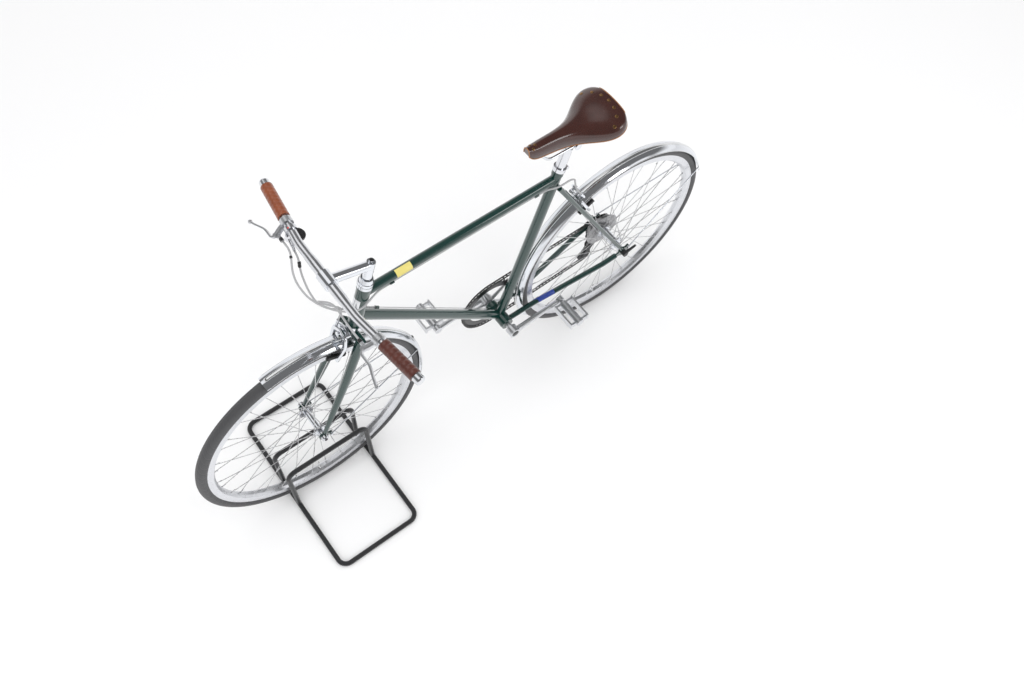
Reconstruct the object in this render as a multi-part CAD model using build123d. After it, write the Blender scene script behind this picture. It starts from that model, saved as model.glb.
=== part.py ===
from build123d import *
import os
from math import asin, atan2, ceil, cos, degrees, floor, hypot, pi, radians, sin, sqrt

# City bicycle parked in a floor stand, in millimetres.
# +X is the way it travels, +Y is the rider's left and +Z is up.
# The origin is on the floor, in the middle of the overall length and on the frame's centre plane.

# ---------------------------------------------------------------- driving dimensions
WHEELBASE = 1035.0
RIM_BEAD_RADIUS = 311.0          # 622 mm bead seat
TYRE_WIDTH = 32.0
TYRE_FLATS = 6
RIM_WIDTH = 24.0
RIM_DEPTH = 18.0
RIM_FLANGE = 6.0                 # flange height outside the bead seat
RIM_WALL = 2.0
SPOKE_RADIUS = 1.0
SPOKE_GAP = 0.3                  # spoke to flange and to rim
SPOKES = 36
FLANGE_THICKNESS = 3.0           # hub flange
HUB_NECK_RADIUS = 10.0           # rear hub beside its flanges
HEAD_ANGLE = 71.5
SEAT_ANGLE = 72.7
FORK_RAKE = 52.0
CHAINSTAY_LENGTH = 412.0
BRACKET_DROP = 61.0
SEAT_TUBE_LENGTH = 578.0         # bracket centre to the top of the seat lug
TOP_TUBE_HEIGHT = 805.0          # centre line above the floor, level
HEAD_TUBE_LOW = 392.0            # heights along the steering axis, from the axle's foot on it
DOWN_TUBE_AT = 427.0
HEAD_TUBE_HIGH = 530.0
BAR_HEIGHT = 603.0
STEM_REACH = 116.0
MAIN_TUBE_RADIUS = 14.3
TOP_TUBE_RADIUS = 12.7
HEAD_TUBE_RADIUS = 18.0
STEERER_RADIUS = 12.7
SHELL_RADIUS = 20.0
SHELL_WIDTH = 68.0
STAY_RADIUS = 8.0
SEAT_STAY_RADIUS = 7.0
FRONT_HUB_WIDTH = 100.0          # between the fork ends
REAR_HUB_WIDTH = 130.0           # between the rear dropouts
DROPOUT_THICKNESS = 5.0
AXLE_RADIUS = 5.0
GUARD_GAP = 6.5                  # tyre to mudguard
GUARD_WIDTH = 42.0
GUARD_SHEET = 1.5
GUARD_ARC_RADIUS = 26.0
FRONT_GUARD_START = 75.0         # degrees from +X towards +Z about the axle
FRONT_GUARD_END = 194.0
REAR_GUARD_START = -22.0
REAR_GUARD_END = 165.0
STAY_WIRE_RADIUS = 2.0
CRANK_LENGTH = 170.0
CRANK_ANGLE = 174.6              # left crank, degrees from +X towards +Z
CRANK_INNER = 64.0               # inner face of each crank from the centre plane
CRANK_THICKNESS = 14.0
CHAIN_LINE = 47.0
CHAIN_PITCH = 12.7
CHAINRING_TEETH = 48
COG_TEETH = 20                   # the cog in line with the chain
CHAINRING_BORE = 74.0            # radius of the opening inside the chainring
PULLEY_TEETH = 12
COG_SPACING = 4.5
GUIDE_PULLEY_AHEAD = 14.0        # pulley centres from the rear axle
GUIDE_PULLEY_BELOW = 70.0
TENSION_PULLEY_AHEAD = 46.0
TENSION_PULLEY_BELOW = 126.0
PEDAL_WIDTH = 80.0
PEDAL_GAP = 8.0                  # crank to pedal
BAR_HALF_WIDTH = 328.0
BAR_STRAIGHT = 120.0
BAR_SWEEP = 8.0
BAR_BEND = 160.0                 # radius of the bend on each side
BAR_RADIUS = 11.1
BAR_CLAMP_RADIUS = 12.7
END_CAP_LENGTH = 18.0
END_CAP_RADIUS = 12.5
GRIP_RADIUS = 15.2
GRIP_LENGTH = 104.0
GRIP_GAP = 0.5                   # grip to end cap
LEVER_SETBACK = 15.0             # lever clamp inboard of the grip
LEVER_CLAMP_LENGTH = 16.0
LEVER_DROP = 45.0                # degrees that the levers point below straight ahead
LEVER_BLADE_WIDTH = 10.0
LEVER_BLADE_THICKNESS = 5.0
SHIFTER_SETBACK = 40.0           # shifter clamp inboard of the grip
SHIFTER_REACH = 40.0             # end of its cable adjuster from its clamp
SEAT_POST_RADIUS = 13.2
SEAT_POST_SHOWING = 77.0
SEAT_POST_SUNK = 80.0
COLLAR_HEIGHT = 12.0
SADDLE_LENGTH = 262.0
SADDLE_WIDTH = 160.0
SADDLE_NOSE = 134.0              # tip of the saddle ahead of the top of the post
SADDLE_RISE = 82.0               # nose of the saddle above the top of the post
RAIL_RISE = 23.0                 # rails above the top of the post
RAIL_RADIUS = 3.5
STAND_ROD_RADIUS = 7.0
STAND_LENGTH = 256.0             # between the long bars, along the bicycle
STAND_WIDTH = 542.0              # across the bicycle
STAND_OFFSET = 11.0               # base to the left of the wheel
STAND_CORNER = 26.0
HOOP_HEIGHT = 200.0
HOOP_FOOT = 44.0                 # half the distance between the hoops at the floor
HOOP_TOP = 36.5                  # the same at the top
HOOP_LEAN = 1.5                  # tops to the right of the wheel
LEATHER = 3.6
DROPOUT_RADIUS = 17.0
EYELET_BORE = 2.6                # plain hole for a 5 mm screw
CABLE_STOP_RADIUS = 4.0
CABLE_STOP_LENGTH = 12.0
SEAT_GAP = 0.25                  # pieces that rest on one another
FIT = 0.1                        # cope and seat clearance between neighbours
RUNNING = 0.05                   # radial clearance of a turning fit
CABLE_RADIUS = 2.5               # housing
LINE_RADIUS = 1.0                # bare line

# ---------------------------------------------------------------- derived layout
TYRE_RADIUS = TYRE_WIDTH / 2
WHEEL_RADIUS = RIM_BEAD_RADIUS + TYRE_WIDTH
GUARD_INNER = WHEEL_RADIUS + GUARD_GAP
GUARD_OUTER = GUARD_INNER + GUARD_SHEET
REAR_REACH = max(WHEEL_RADIUS, -GUARD_OUTER * cos(radians(REAR_GUARD_END)))
REAR_X = -(WHEELBASE + WHEEL_RADIUS - REAR_REACH) / 2
FRONT_X = REAR_X + WHEELBASE
REAR_AXLE = Vector(REAR_X, 0, WHEEL_RADIUS)
FRONT_AXLE = Vector(FRONT_X, 0, WHEEL_RADIUS)
BRACKET_X = REAR_X + sqrt(CHAINSTAY_LENGTH**2 - BRACKET_DROP**2)
BRACKET = Vector(BRACKET_X, 0, WHEEL_RADIUS - BRACKET_DROP)
STEER_UP = Vector(-cos(radians(HEAD_ANGLE)), 0, sin(radians(HEAD_ANGLE)))
STEER_AHEAD = Vector(sin(radians(HEAD_ANGLE)), 0, cos(radians(HEAD_ANGLE)))
STEER_FOOT = FRONT_AXLE - STEER_AHEAD * FORK_RAKE
SEAT_UP = Vector(-cos(radians(SEAT_ANGLE)), 0, sin(radians(SEAT_ANGLE)))
SEAT_AHEAD = Vector(sin(radians(SEAT_ANGLE)), 0, cos(radians(SEAT_ANGLE)))
LEFT = Vector(0, 1, 0)


def steer(up, ahead=0.0, left=0.0):
    """A point given along the steering axis, ahead of it and to the left."""
    return STEER_FOOT + STEER_UP * up + STEER_AHEAD * ahead + LEFT * left


def seat_line(up, left=0.0):
    """A point on the seat tube's axis, measured from the bottom bracket."""
    return BRACKET + SEAT_UP * up + LEFT * left


def about(centre, radius, angle, left=0.0):
    """A point on a circle about a cross axis, with the angle from +X towards +Z."""
    a = radians(angle)
    return centre + Vector(radius * cos(a), left, radius * sin(a))


TOP_TUBE_FRONT = steer((TOP_TUBE_HEIGHT - STEER_FOOT.Z) / STEER_UP.Z)
TOP_TUBE_REAR = seat_line((TOP_TUBE_HEIGHT - BRACKET.Z) / SEAT_UP.Z)
SEAT_STAY_TOP = TOP_TUBE_REAR - SEAT_UP * 24.0
CROWN_LOW = GUARD_OUTER + 2.0
CROWN_HIGH = HEAD_TUBE_LOW - 10.0


# ---------------------------------------------------------------- small helpers
def rod(start, end, radius, end_radius=None):
    """A round bar, or a cone if it ends with another radius."""
    plane = Plane(origin=start, z_dir=(end - start).normalized())
    length = (end - start).length
    if end_radius is None or abs(end_radius - radius) < 1e-6:
        return Solid.make_cylinder(radius, length, plane)
    return Solid.make_cone(radius, end_radius, length, plane)


def pipe(points, radii, radius):
    """A round bar along straight runs joined by tangent arcs."""
    path = FilletPolyline(*points, radius=radii)
    start = Plane(origin=path @ 0, z_dir=path % 0)
    return sweep(start * Circle(radius), path=path)


def smooth_radii(points):
    """The largest arc at each corner that its two runs allow."""
    found = []
    for before, corner, after in zip(points, points[1:], points[2:]):
        run = min((corner - before).length, (after - corner).length)
        turn = radians((corner - before).get_angle(after - corner))
        found.append(0.45 * run / max(sin(turn / 2) / cos(turn / 2), 1e-3))
    return found


def cable(points, radius=CABLE_RADIUS):
    return pipe(points, smooth_radii(points), radius)


def strap(points, radii, width, thickness, across):
    """A flat bar along straight runs joined by tangent arcs, its width in the given direction."""
    path = FilletPolyline(*points, radius=radii)
    start = Plane(origin=path @ 0, x_dir=across, z_dir=path % 0)
    return sweep(start * RectangleRounded(width, thickness, min(width, thickness) * 0.35), path=path)


def turned(profile, centre, start=0.0, sweep_angle=360.0):
    """A profile of (radius, left) points or a face, turned about the cross axis through centre."""
    face = profile if isinstance(profile, (Face, Sketch)) else make_face(Polyline(*profile, close=True))
    axis = Axis((0, 0, 0), (0, -1, 0))
    body = revolve(face, axis=axis, revolution_arc=sweep_angle)
    return body.rotate(axis, start).translate(centre)


def mirrored(shape):
    """The same piece on the other side of the bicycle."""
    return mirror(shape, about=Plane.XZ)


def side_plate(outline, near, thickness):
    """A flat plate with a given outline in the centre plane, from near to near + thickness left."""
    plane = Plane(origin=(0, near, 0), x_dir=(1, 0, 0), z_dir=(0, -1, 0))
    return extrude(plane * outline, amount=-thickness)


def solids_of(*shapes):
    found = []
    for shape in shapes:
        found += shape.solids()
    return Compound(found)


# ---------------------------------------------------------------- wheels
def tyre(axle):
    """Carcass that sits on the rim's flanges, its round section in flats."""
    seat = RIM_BEAD_RADIUS + RIM_FLANGE + FIT
    centre = RIM_BEAD_RADIUS + TYRE_RADIUS
    first = asin((centre - seat) / TYRE_RADIUS)
    profile = []
    for number in range(TYRE_FLATS + 1):
        turn = -pi / 2 - first + number * (pi + 2 * first) / TYRE_FLATS
        profile.append((centre + TYRE_RADIUS * cos(turn), TYRE_RADIUS * sin(turn)))
    return turned(profile, axle)


def rim(axle):
    """Box section with a shallow bed and two brake faces."""
    half = RIM_WIDTH / 2
    outer = RIM_BEAD_RADIUS + RIM_FLANGE
    inner = RIM_BEAD_RADIUS - RIM_DEPTH
    bed = half - RIM_WALL
    profile = [
        (outer, -half), (outer, -bed), (RIM_BEAD_RADIUS, -bed),
        (RIM_BEAD_RADIUS, bed), (outer, bed), (outer, half),
        (inner + 6, half), (inner, half * 0.45), (inner, -half * 0.45), (inner + 6, -half),
    ]
    return turned(profile, axle)


def hub(axle, flange_left, flange_right, flange_radius, length_left, length_right, barrel, neck):
    """Barrel with two spoke flanges, bored for the axle."""
    bore = AXLE_RADIUS + RUNNING
    web = FLANGE_THICKNESS
    profile = [
        (bore, -length_right), (neck, -length_right), (neck, -flange_right - web / 2),
        (flange_radius, -flange_right - web / 2), (flange_radius, -flange_right + web / 2),
        (barrel, -flange_right + web / 2), (barrel, flange_left - web / 2),
        (flange_radius, flange_left - web / 2), (flange_radius, flange_left + web / 2),
        (neck, flange_left + web / 2), (neck, length_left), (bore, length_left),
    ]
    return turned(profile, axle)


def spokes(axle, flange_left, flange_right, flange_radius):
    """Crossed spokes, each beside its flange and ending just short of the rim."""
    reach = RIM_BEAD_RADIUS - RIM_DEPTH - SPOKE_GAP
    hole = flange_radius - 3.5
    beside = FLANGE_THICKNESS / 2 + SPOKE_RADIUS + 0.2
    wires = []
    for number in range(SPOKES):
        left_side = number % 2 == 0
        leading = (number // 2) % 2 == 0
        flange = flange_left if left_side else -flange_right
        out = beside + 1.0 if leading else -beside
        start_left = flange + out * (1 if left_side else -1)
        rim_angle = number * 360.0 / SPOKES
        lean = 72.0 if leading else -72.0
        start = about(axle, hole, rim_angle + lean, start_left)
        end = about(axle, reach, rim_angle, 3.5 if left_side else -3.5)
        wires.append(rod(start, end, SPOKE_RADIUS))
    return Compound(wires)


FRONT_FLANGE = 35.0
FRONT_FLANGE_RADIUS = 21.0
REAR_FLANGE_LEFT = 36.0
REAR_FLANGE_RIGHT = 20.0
REAR_FLANGE_RADIUS = 23.0


def front_axle():
    """Axle with a lock nut and an outer nut beside each fork end."""
    half = FRONT_HUB_WIDTH / 2
    end = half + DROPOUT_THICKNESS
    axle = rod(FRONT_AXLE - LEFT * (end + 12), FRONT_AXLE + LEFT * (end + 12), AXLE_RADIUS)
    pieces = axle
    for side in (-1, 1):
        inner = rod(FRONT_AXLE + LEFT * side * (half - 5), FRONT_AXLE + LEFT * side * (half - FIT), 9.0)
        outer = rod(FRONT_AXLE + LEFT * side * (end + FIT), FRONT_AXLE + LEFT * side * (end + 9), 10.0)
        pieces = pieces + inner + outer
    return pieces


def rear_axle():
    """Quick release axle with its lever on the left and a nut on the right."""
    half = REAR_HUB_WIDTH / 2
    end = half + DROPOUT_THICKNESS
    axle = rod(REAR_AXLE - LEFT * (end + 14), REAR_AXLE + LEFT * (end + 12), AXLE_RADIUS)
    nut = rod(REAR_AXLE - LEFT * (end + 12), REAR_AXLE - LEFT * (end + FIT), 9.0)
    cam = rod(REAR_AXLE + LEFT * (end + FIT), REAR_AXLE + LEFT * (end + 15), 9.0)
    handle = rod(REAR_AXLE + LEFT * (end + 9), REAR_AXLE + Vector(-24, end + 22, 38), 5.0, 3.5)
    inner_left = rod(REAR_AXLE + LEFT * (half - 5), REAR_AXLE + LEFT * (half - FIT), 9.0)
    inner_right = rod(REAR_AXLE - LEFT * (half - 3), REAR_AXLE - LEFT * (half - FIT), 9.0)
    return axle + nut + cam + handle + inner_left + inner_right


# ---------------------------------------------------------------- sprockets and chain
def pitch_radius(teeth):
    return CHAIN_PITCH / (2 * sin(pi / teeth))


ROLLER_RADIUS = 3.9
TOOTH_RISE = 3.0
TOOTH_THICKNESS = 2.0
CARRIER_RADIUS = 20.0


def toothed_disc(teeth, bore, phase=0.0):
    """Sprocket outline with round seats for the rollers, in the centre plane about the origin."""
    radius = pitch_radius(teeth)
    seat = ROLLER_RADIUS + 0.25
    tip = radius + TOOTH_RISE
    half_tip = 20.0 / teeth
    edges = []
    points = []
    for number in range(teeth):
        roller = phase + number * 360.0 / teeth
        half_seat = degrees(seat / radius)
        low_left = roller + half_seat
        tip_left = roller + 180.0 / teeth - half_tip * 3
        tip_right = roller + 180.0 / teeth + half_tip * 3
        next_low = roller + 360.0 / teeth - half_seat
        points.append((radius, low_left, roller))
        points.append((tip, tip_left, None))
        points.append((tip, tip_right, None))
        points.append((radius, next_low, None))
    xy = [(r * cos(radians(a)), r * sin(radians(a))) for r, a, _ in points]
    for number in range(teeth):
        a, b, c, d = xy[4 * number:4 * number + 4]
        edges += [Line(a, b), Line(b, c), Line(c, d)]
        after = xy[(4 * number + 4) % len(xy)]
        roller = radians(phase + (number + 1) * 360.0 / teeth)
        low = ((radius - seat) * cos(roller), (radius - seat) * sin(roller))
        edges.append(ThreePointArc(d, low, after))
    return make_face(edges) - Circle(bore)


def belt(circles):
    """Runs of the closed line round circles of (x, z, teeth, turn), turn +1 for anticlockwise."""
    count = len(circles)
    ends = []
    for number in range(count):
        x0, z0, teeth0, s0 = circles[number]
        x1, z1, teeth1, s1 = circles[(number + 1) % count]
        r0 = pitch_radius(teeth0)
        r1 = pitch_radius(teeth1)
        gap = hypot(x1 - x0, z1 - z0)
        along = atan2(z1 - z0, x1 - x0) - asin((s1 * r1 - s0 * r0) / gap)
        right = along - pi / 2
        leave = (x0 + s0 * r0 * cos(right), z0 + s0 * r0 * sin(right))
        arrive = (x1 + s1 * r1 * cos(right), z1 + s1 * r1 * sin(right))
        ends.append((leave, arrive))
    runs = []
    for number in range(count):
        x, z, teeth, turn = circles[number]
        arrive = ends[number - 1][1]
        leave, after = ends[number]
        first = atan2(arrive[1] - z, arrive[0] - x)
        last = atan2(leave[1] - z, leave[0] - x)
        wrap = (last - first) * turn % (2 * pi)
        runs.append(("wrap", x, z, teeth, turn, first, wrap * teeth / (2 * pi)))
        runs.append(("straight", leave, after, hypot(after[0] - leave[0], after[1] - leave[1]) / CHAIN_PITCH))
    return runs


def along_runs(runs, links):
    """Point and outward normal at a number of links along the runs."""
    for run in runs:
        if links > run[-1]:
            links -= run[-1]
            continue
        if run[0] == "wrap":
            _, x, z, teeth, turn, first, _ = run
            a = first + turn * links * 2 * pi / teeth
            r = pitch_radius(teeth)
            return (x + r * cos(a), z + r * sin(a)), (turn * cos(a), turn * sin(a))
        (x0, z0), (x1, z1) = run[1], run[2]
        share = links / run[-1]
        length = hypot(x1 - x0, z1 - z0)
        return (x0 + (x1 - x0) * share, z0 + (z1 - z0) * share), ((z1 - z0) / length, (x0 - x1) / length)
    return along_runs(runs, 0.0)


GUIDE_PULLEY = REAR_AXLE + Vector(GUIDE_PULLEY_AHEAD, 0, -GUIDE_PULLEY_BELOW)


def chain_runs(below):
    """Chainring, cog, guide pulley and tension pulley in turn."""
    return belt([
        (BRACKET.X, BRACKET.Z, CHAINRING_TEETH, 1),
        (REAR_AXLE.X, REAR_AXLE.Z, COG_TEETH, 1),
        (GUIDE_PULLEY.X, GUIDE_PULLEY.Z, PULLEY_TEETH, -1),
        (REAR_AXLE.X + TENSION_PULLEY_AHEAD, REAR_AXLE.Z - below, PULLEY_TEETH, 1),
    ])


def link_count(below):
    return sum(run[-1] for run in chain_runs(below))


def taut_pulley():
    """How far below the axle the tension pulley hangs for a whole, even number of links."""
    wanted = 2 * round(link_count(TENSION_PULLEY_BELOW) / 2)
    low = TENSION_PULLEY_BELOW - CHAIN_PITCH
    high = TENSION_PULLEY_BELOW + CHAIN_PITCH
    for _ in range(40):
        middle = (low + high) / 2
        if link_count(middle) < wanted:
            low = middle
        else:
            high = middle
    return middle


PULLEY_BELOW = taut_pulley()
TENSION_PULLEY = REAR_AXLE + Vector(TENSION_PULLEY_AHEAD, 0, -PULLEY_BELOW)
CHAIN_HALF_HEIGHT = 4.3
CHAIN_WAIST = 3.0
CHAIN_HALF_WIDTH = 3.6
CHAIN_PLATE = 1.1
PIN_HALF = 1.6


def chain():
    """Two rows of side plates, waisted between pins, with the pins showing on the straight runs."""
    runs = chain_runs(PULLEY_BELOW)
    count = round(link_count(PULLEY_BELOW))
    outer = []
    inner = []
    for half in range(2 * count):
        (x, z), (nx, nz) = along_runs(runs, half / 2)
        reach = CHAIN_HALF_HEIGHT if half % 2 == 0 else CHAIN_WAIST
        outer.append((x + nx * reach, z + nz * reach))
        inner.append((x - nx * reach, z - nz * reach))
    band = make_face(Polyline(*outer, close=True)) - make_face(Polyline(*inner, close=True))
    right = -CHAIN_LINE - CHAIN_HALF_WIDTH
    left = -CHAIN_LINE + CHAIN_HALF_WIDTH - CHAIN_PLATE
    body = side_plate(band, right, CHAIN_PLATE) + side_plate(band, left, CHAIN_PLATE)
    pins = []
    start = 0.0
    for run in runs:
        if run[0] == "straight" and run[-1] > 6:
            for link in range(ceil(start + 3), floor(start + run[-1] - 3) + 1):
                (x, z), _ = along_runs(runs, link)
                pin = Box(2 * PIN_HALF, 2 * CHAIN_HALF_WIDTH - CHAIN_PLATE, 2 * PIN_HALF)
                pins.append(pin.translate((x, -CHAIN_LINE, z)))
        start += run[-1]
    return body.fuse(*pins)


def roller_angle(run_number):
    """Direction of one roller on a sprocket, in degrees."""
    runs = chain_runs(PULLEY_BELOW)
    before = sum(run[-1] for run in runs[:run_number])
    _, _, _, teeth, turn, first, _ = runs[run_number]
    return degrees(first + turn * (ceil(before) - before) * 2 * pi / teeth)


def placed_disc(outline, centre, middle, thickness):
    return side_plate(outline, middle - thickness / 2, thickness).translate((centre.X, 0, centre.Z))


def cassette():
    """Seven cogs on a carrier, the fifth in line with the chain."""
    inner = CHAIN_LINE - 4 * COG_SPACING
    outer = CHAIN_LINE + 2 * COG_SPACING
    stack = rod(REAR_AXLE - LEFT * (inner - 1), REAR_AXLE - LEFT * (outer + 2), CARRIER_RADIUS)
    for place in range(7):
        teeth = COG_TEETH + 2 * (4 - place)
        middle = -CHAIN_LINE + COG_SPACING * (4 - place)
        if teeth == COG_TEETH:
            face = toothed_disc(teeth, CARRIER_RADIUS - 1, roller_angle(2))
            disc = placed_disc(face, REAR_AXLE, middle, TOOTH_THICKNESS)
        else:
            half = LEFT * 0.9
            centre = REAR_AXLE + LEFT * middle
            disc = rod(centre - half, centre + half, pitch_radius(teeth) + 1)
        stack = stack + disc
    return stack - rod(REAR_AXLE - LEFT * REAR_HUB_WIDTH, REAR_AXLE, HUB_NECK_RADIUS + FIT)


def chainring():
    face = toothed_disc(CHAINRING_TEETH, CHAINRING_BORE, roller_angle(0))
    return placed_disc(face, BRACKET, -CHAIN_LINE, TOOTH_THICKNESS)


# ---------------------------------------------------------------- frame
def around_seat_tube():
    """What clears the seat tube, over its whole length and a little more."""
    return rod(seat_line(-2 * SHELL_RADIUS), seat_line(SEAT_TUBE_LENGTH + 2 * SHELL_RADIUS), MAIN_TUBE_RADIUS + FIT)


def around_head_tube():
    low = steer(HEAD_TUBE_LOW - 4 * HEAD_TUBE_RADIUS)
    high = steer(HEAD_TUBE_HIGH + 4 * HEAD_TUBE_RADIUS)
    return rod(low, high, HEAD_TUBE_RADIUS + FIT)


def around_shell():
    return rod(BRACKET - LEFT * SHELL_WIDTH, BRACKET + LEFT * SHELL_WIDTH, SHELL_RADIUS + FIT)


def head_tube():
    body = rod(steer(HEAD_TUBE_LOW), steer(HEAD_TUBE_HIGH), HEAD_TUBE_RADIUS)
    for level in (HEAD_TUBE_LOW, HEAD_TUBE_HIGH - 5):
        body = body + rod(steer(level), steer(level + 5), HEAD_TUBE_RADIUS + 1.5)
    return body - rod(steer(HEAD_TUBE_LOW - 1), steer(HEAD_TUBE_HIGH + 1), STEERER_RADIUS + 2.5)


def seat_tube():
    tube = rod(seat_line(0), seat_line(SEAT_TUBE_LENGTH), MAIN_TUBE_RADIUS)
    lug = rod(seat_line(SEAT_TUBE_LENGTH - 14), seat_line(SEAT_TUBE_LENGTH), MAIN_TUBE_RADIUS + 1.6)
    bore = rod(seat_line(SEAT_TUBE_LENGTH - SEAT_POST_SUNK - 10), seat_line(SEAT_TUBE_LENGTH + 1), SEAT_POST_RADIUS + FIT)
    return tube + lug - bore - around_shell()


def beside_top_tube(along):
    """A point on the brake line, low on the left of the top tube, from its front end."""
    out = TOP_TUBE_RADIUS + CABLE_STOP_RADIUS - 1
    return TOP_TUBE_FRONT + Vector(-along, out * sin(radians(35)), -out * cos(radians(35)))


def beside_down_tube(along):
    """A point on the gear line, low on the right of the down tube, from its upper end."""
    way = (BRACKET - steer(DOWN_TUBE_AT)).normalized()
    under = Vector(-way.Z, 0, way.X)
    out = MAIN_TUBE_RADIUS + CABLE_STOP_RADIUS - 1
    top = steer(DOWN_TUBE_AT)
    return top + way * along - under * out * cos(radians(50)) - LEFT * out * sin(radians(50))


TOP_TUBE_LENGTH = (TOP_TUBE_REAR - TOP_TUBE_FRONT).length
DOWN_TUBE_LENGTH = (BRACKET - steer(DOWN_TUBE_AT)).length
STOP_AT = 70.0                   # first cable stop, from the head end of its tube
LAST_STOP = TOP_TUBE_LENGTH - 72.0
LOWER_STOP = DOWN_TUBE_LENGTH - 60.0


def cable_stop(point, along):
    return rod(point(along), point(along + CABLE_STOP_LENGTH), CABLE_STOP_RADIUS)


def top_tube():
    """Tube with two cable stops."""
    tube = rod(TOP_TUBE_REAR, TOP_TUBE_FRONT, TOP_TUBE_RADIUS) - around_seat_tube() - around_head_tube()
    return tube + cable_stop(beside_top_tube, STOP_AT) + cable_stop(beside_top_tube, LAST_STOP)


def down_tube():
    """Tube with the gear line's stop at its head end and a guide near the bracket."""
    tube = rod(BRACKET, steer(DOWN_TUBE_AT), MAIN_TUBE_RADIUS)
    tube = tube - around_head_tube() - around_shell() - around_seat_tube()
    return tube + cable_stop(beside_down_tube, STOP_AT) + cable_stop(beside_down_tube, LOWER_STOP)


def bracket_shell():
    half = SHELL_WIDTH / 2
    shell = rod(BRACKET - LEFT * half, BRACKET + LEFT * half, SHELL_RADIUS)
    for side in (-1, 1):
        cup = rod(BRACKET + LEFT * side * half, BRACKET + LEFT * side * (half + 7), SHELL_RADIUS - 1)
        shell = shell + cup
    return shell - rod(BRACKET - LEFT * 60, BRACKET + LEFT * 60, 8.5 + RUNNING)


DROPOUT_LEFT = REAR_HUB_WIDTH / 2 + DROPOUT_THICKNESS / 2
GUARD_EYE = (-16.0, 14.0)        # mudguard eyelet, from the rear axle
CARRIER_EYE = (-20.0, -5.0)      # spare eyelet for a luggage carrier
HANGER = (9.0, -30.0)            # derailleur's bolt on the right dropout


def left_chain_stay():
    """Stay that runs straight past the tyre, then flares to its dropout."""
    points = [
        BRACKET + Vector(-6, 27, 0),
        BRACKET + Vector(-110, 32, 10),
        REAR_AXLE + Vector(70, DROPOUT_LEFT - 4, -14),
        REAR_AXLE + Vector(11, DROPOUT_LEFT, -2.5),
    ]
    stay = pipe(points, [300, 120], STAY_RADIUS)
    stay = stay - around_shell()
    centre = Pos(REAR_AXLE.X, REAR_AXLE.Z)
    outline = centre * Circle(DROPOUT_RADIUS) + centre * Pos(*GUARD_EYE) * Circle(6) + centre * Pos(*CARRIER_EYE) * Circle(7)
    outline = outline - centre * Circle(AXLE_RADIUS + FIT) - centre * Pos(*CARRIER_EYE) * Circle(EYELET_BORE)
    plate = side_plate(outline, REAR_HUB_WIDTH / 2, DROPOUT_THICKNESS)
    inside = rod(REAR_AXLE, REAR_AXLE + LEFT * (REAR_HUB_WIDTH / 2), 26)
    outside = rod(REAR_AXLE + LEFT * (REAR_HUB_WIDTH / 2 + DROPOUT_THICKNESS), REAR_AXLE + LEFT * 100, 26)
    crimp = rod(REAR_AXLE, REAR_AXLE + LEFT * (GUARD_WIDTH / 2 + 0.4), GUARD_OUTER + 2)
    return stay - crimp - inside - outside + plate


def derailleur_hanger():
    """Tab under the right dropout, for the derailleur's bolt."""
    at = Pos(REAR_AXLE.X + HANGER[0], REAR_AXLE.Z + HANGER[1])
    tab = at * Circle(8.0) + at * Pos(-2, 9) * Rectangle(15, 16)
    tab = tab - Pos(REAR_AXLE.X, REAR_AXLE.Z) * Circle(DROPOUT_RADIUS - 1)
    return side_plate(tab, -REAR_HUB_WIDTH / 2 - DROPOUT_THICKNESS, DROPOUT_THICKNESS)


def left_seat_stay():
    low = REAR_AXLE + Vector(6, DROPOUT_LEFT + 1.5, 14)
    high = SEAT_STAY_TOP + Vector(-8, 19, 0)
    stay = rod(low, high, SEAT_STAY_RADIUS - 2, SEAT_STAY_RADIUS)
    return stay - around_seat_tube() - rod(REAR_AXLE, REAR_AXLE + LEFT * REAR_HUB_WIDTH, DROPOUT_RADIUS + FIT)


def stay_bridge():
    """Cross tube that carries the rear brake and the mudguard."""
    return rod(BRIDGE - LEFT * 34, BRIDGE + LEFT * 34, 7.5)


def headset_cups():
    lower = rod(steer(HEAD_TUBE_LOW - 9), steer(HEAD_TUBE_LOW - FIT), 20.0, 19.5)
    upper = rod(steer(HEAD_TUBE_HIGH + FIT), steer(HEAD_TUBE_HIGH + 10), 19.5, 20.0)
    bore = rod(steer(HEAD_TUBE_LOW - 20), steer(HEAD_TUBE_HIGH + 20), STEERER_RADIUS + 2.0)
    return solids_of(lower - bore, upper - bore)


# ---------------------------------------------------------------- fork and cockpit
FORK_EYE = (-21.0, -3.0)


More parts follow.
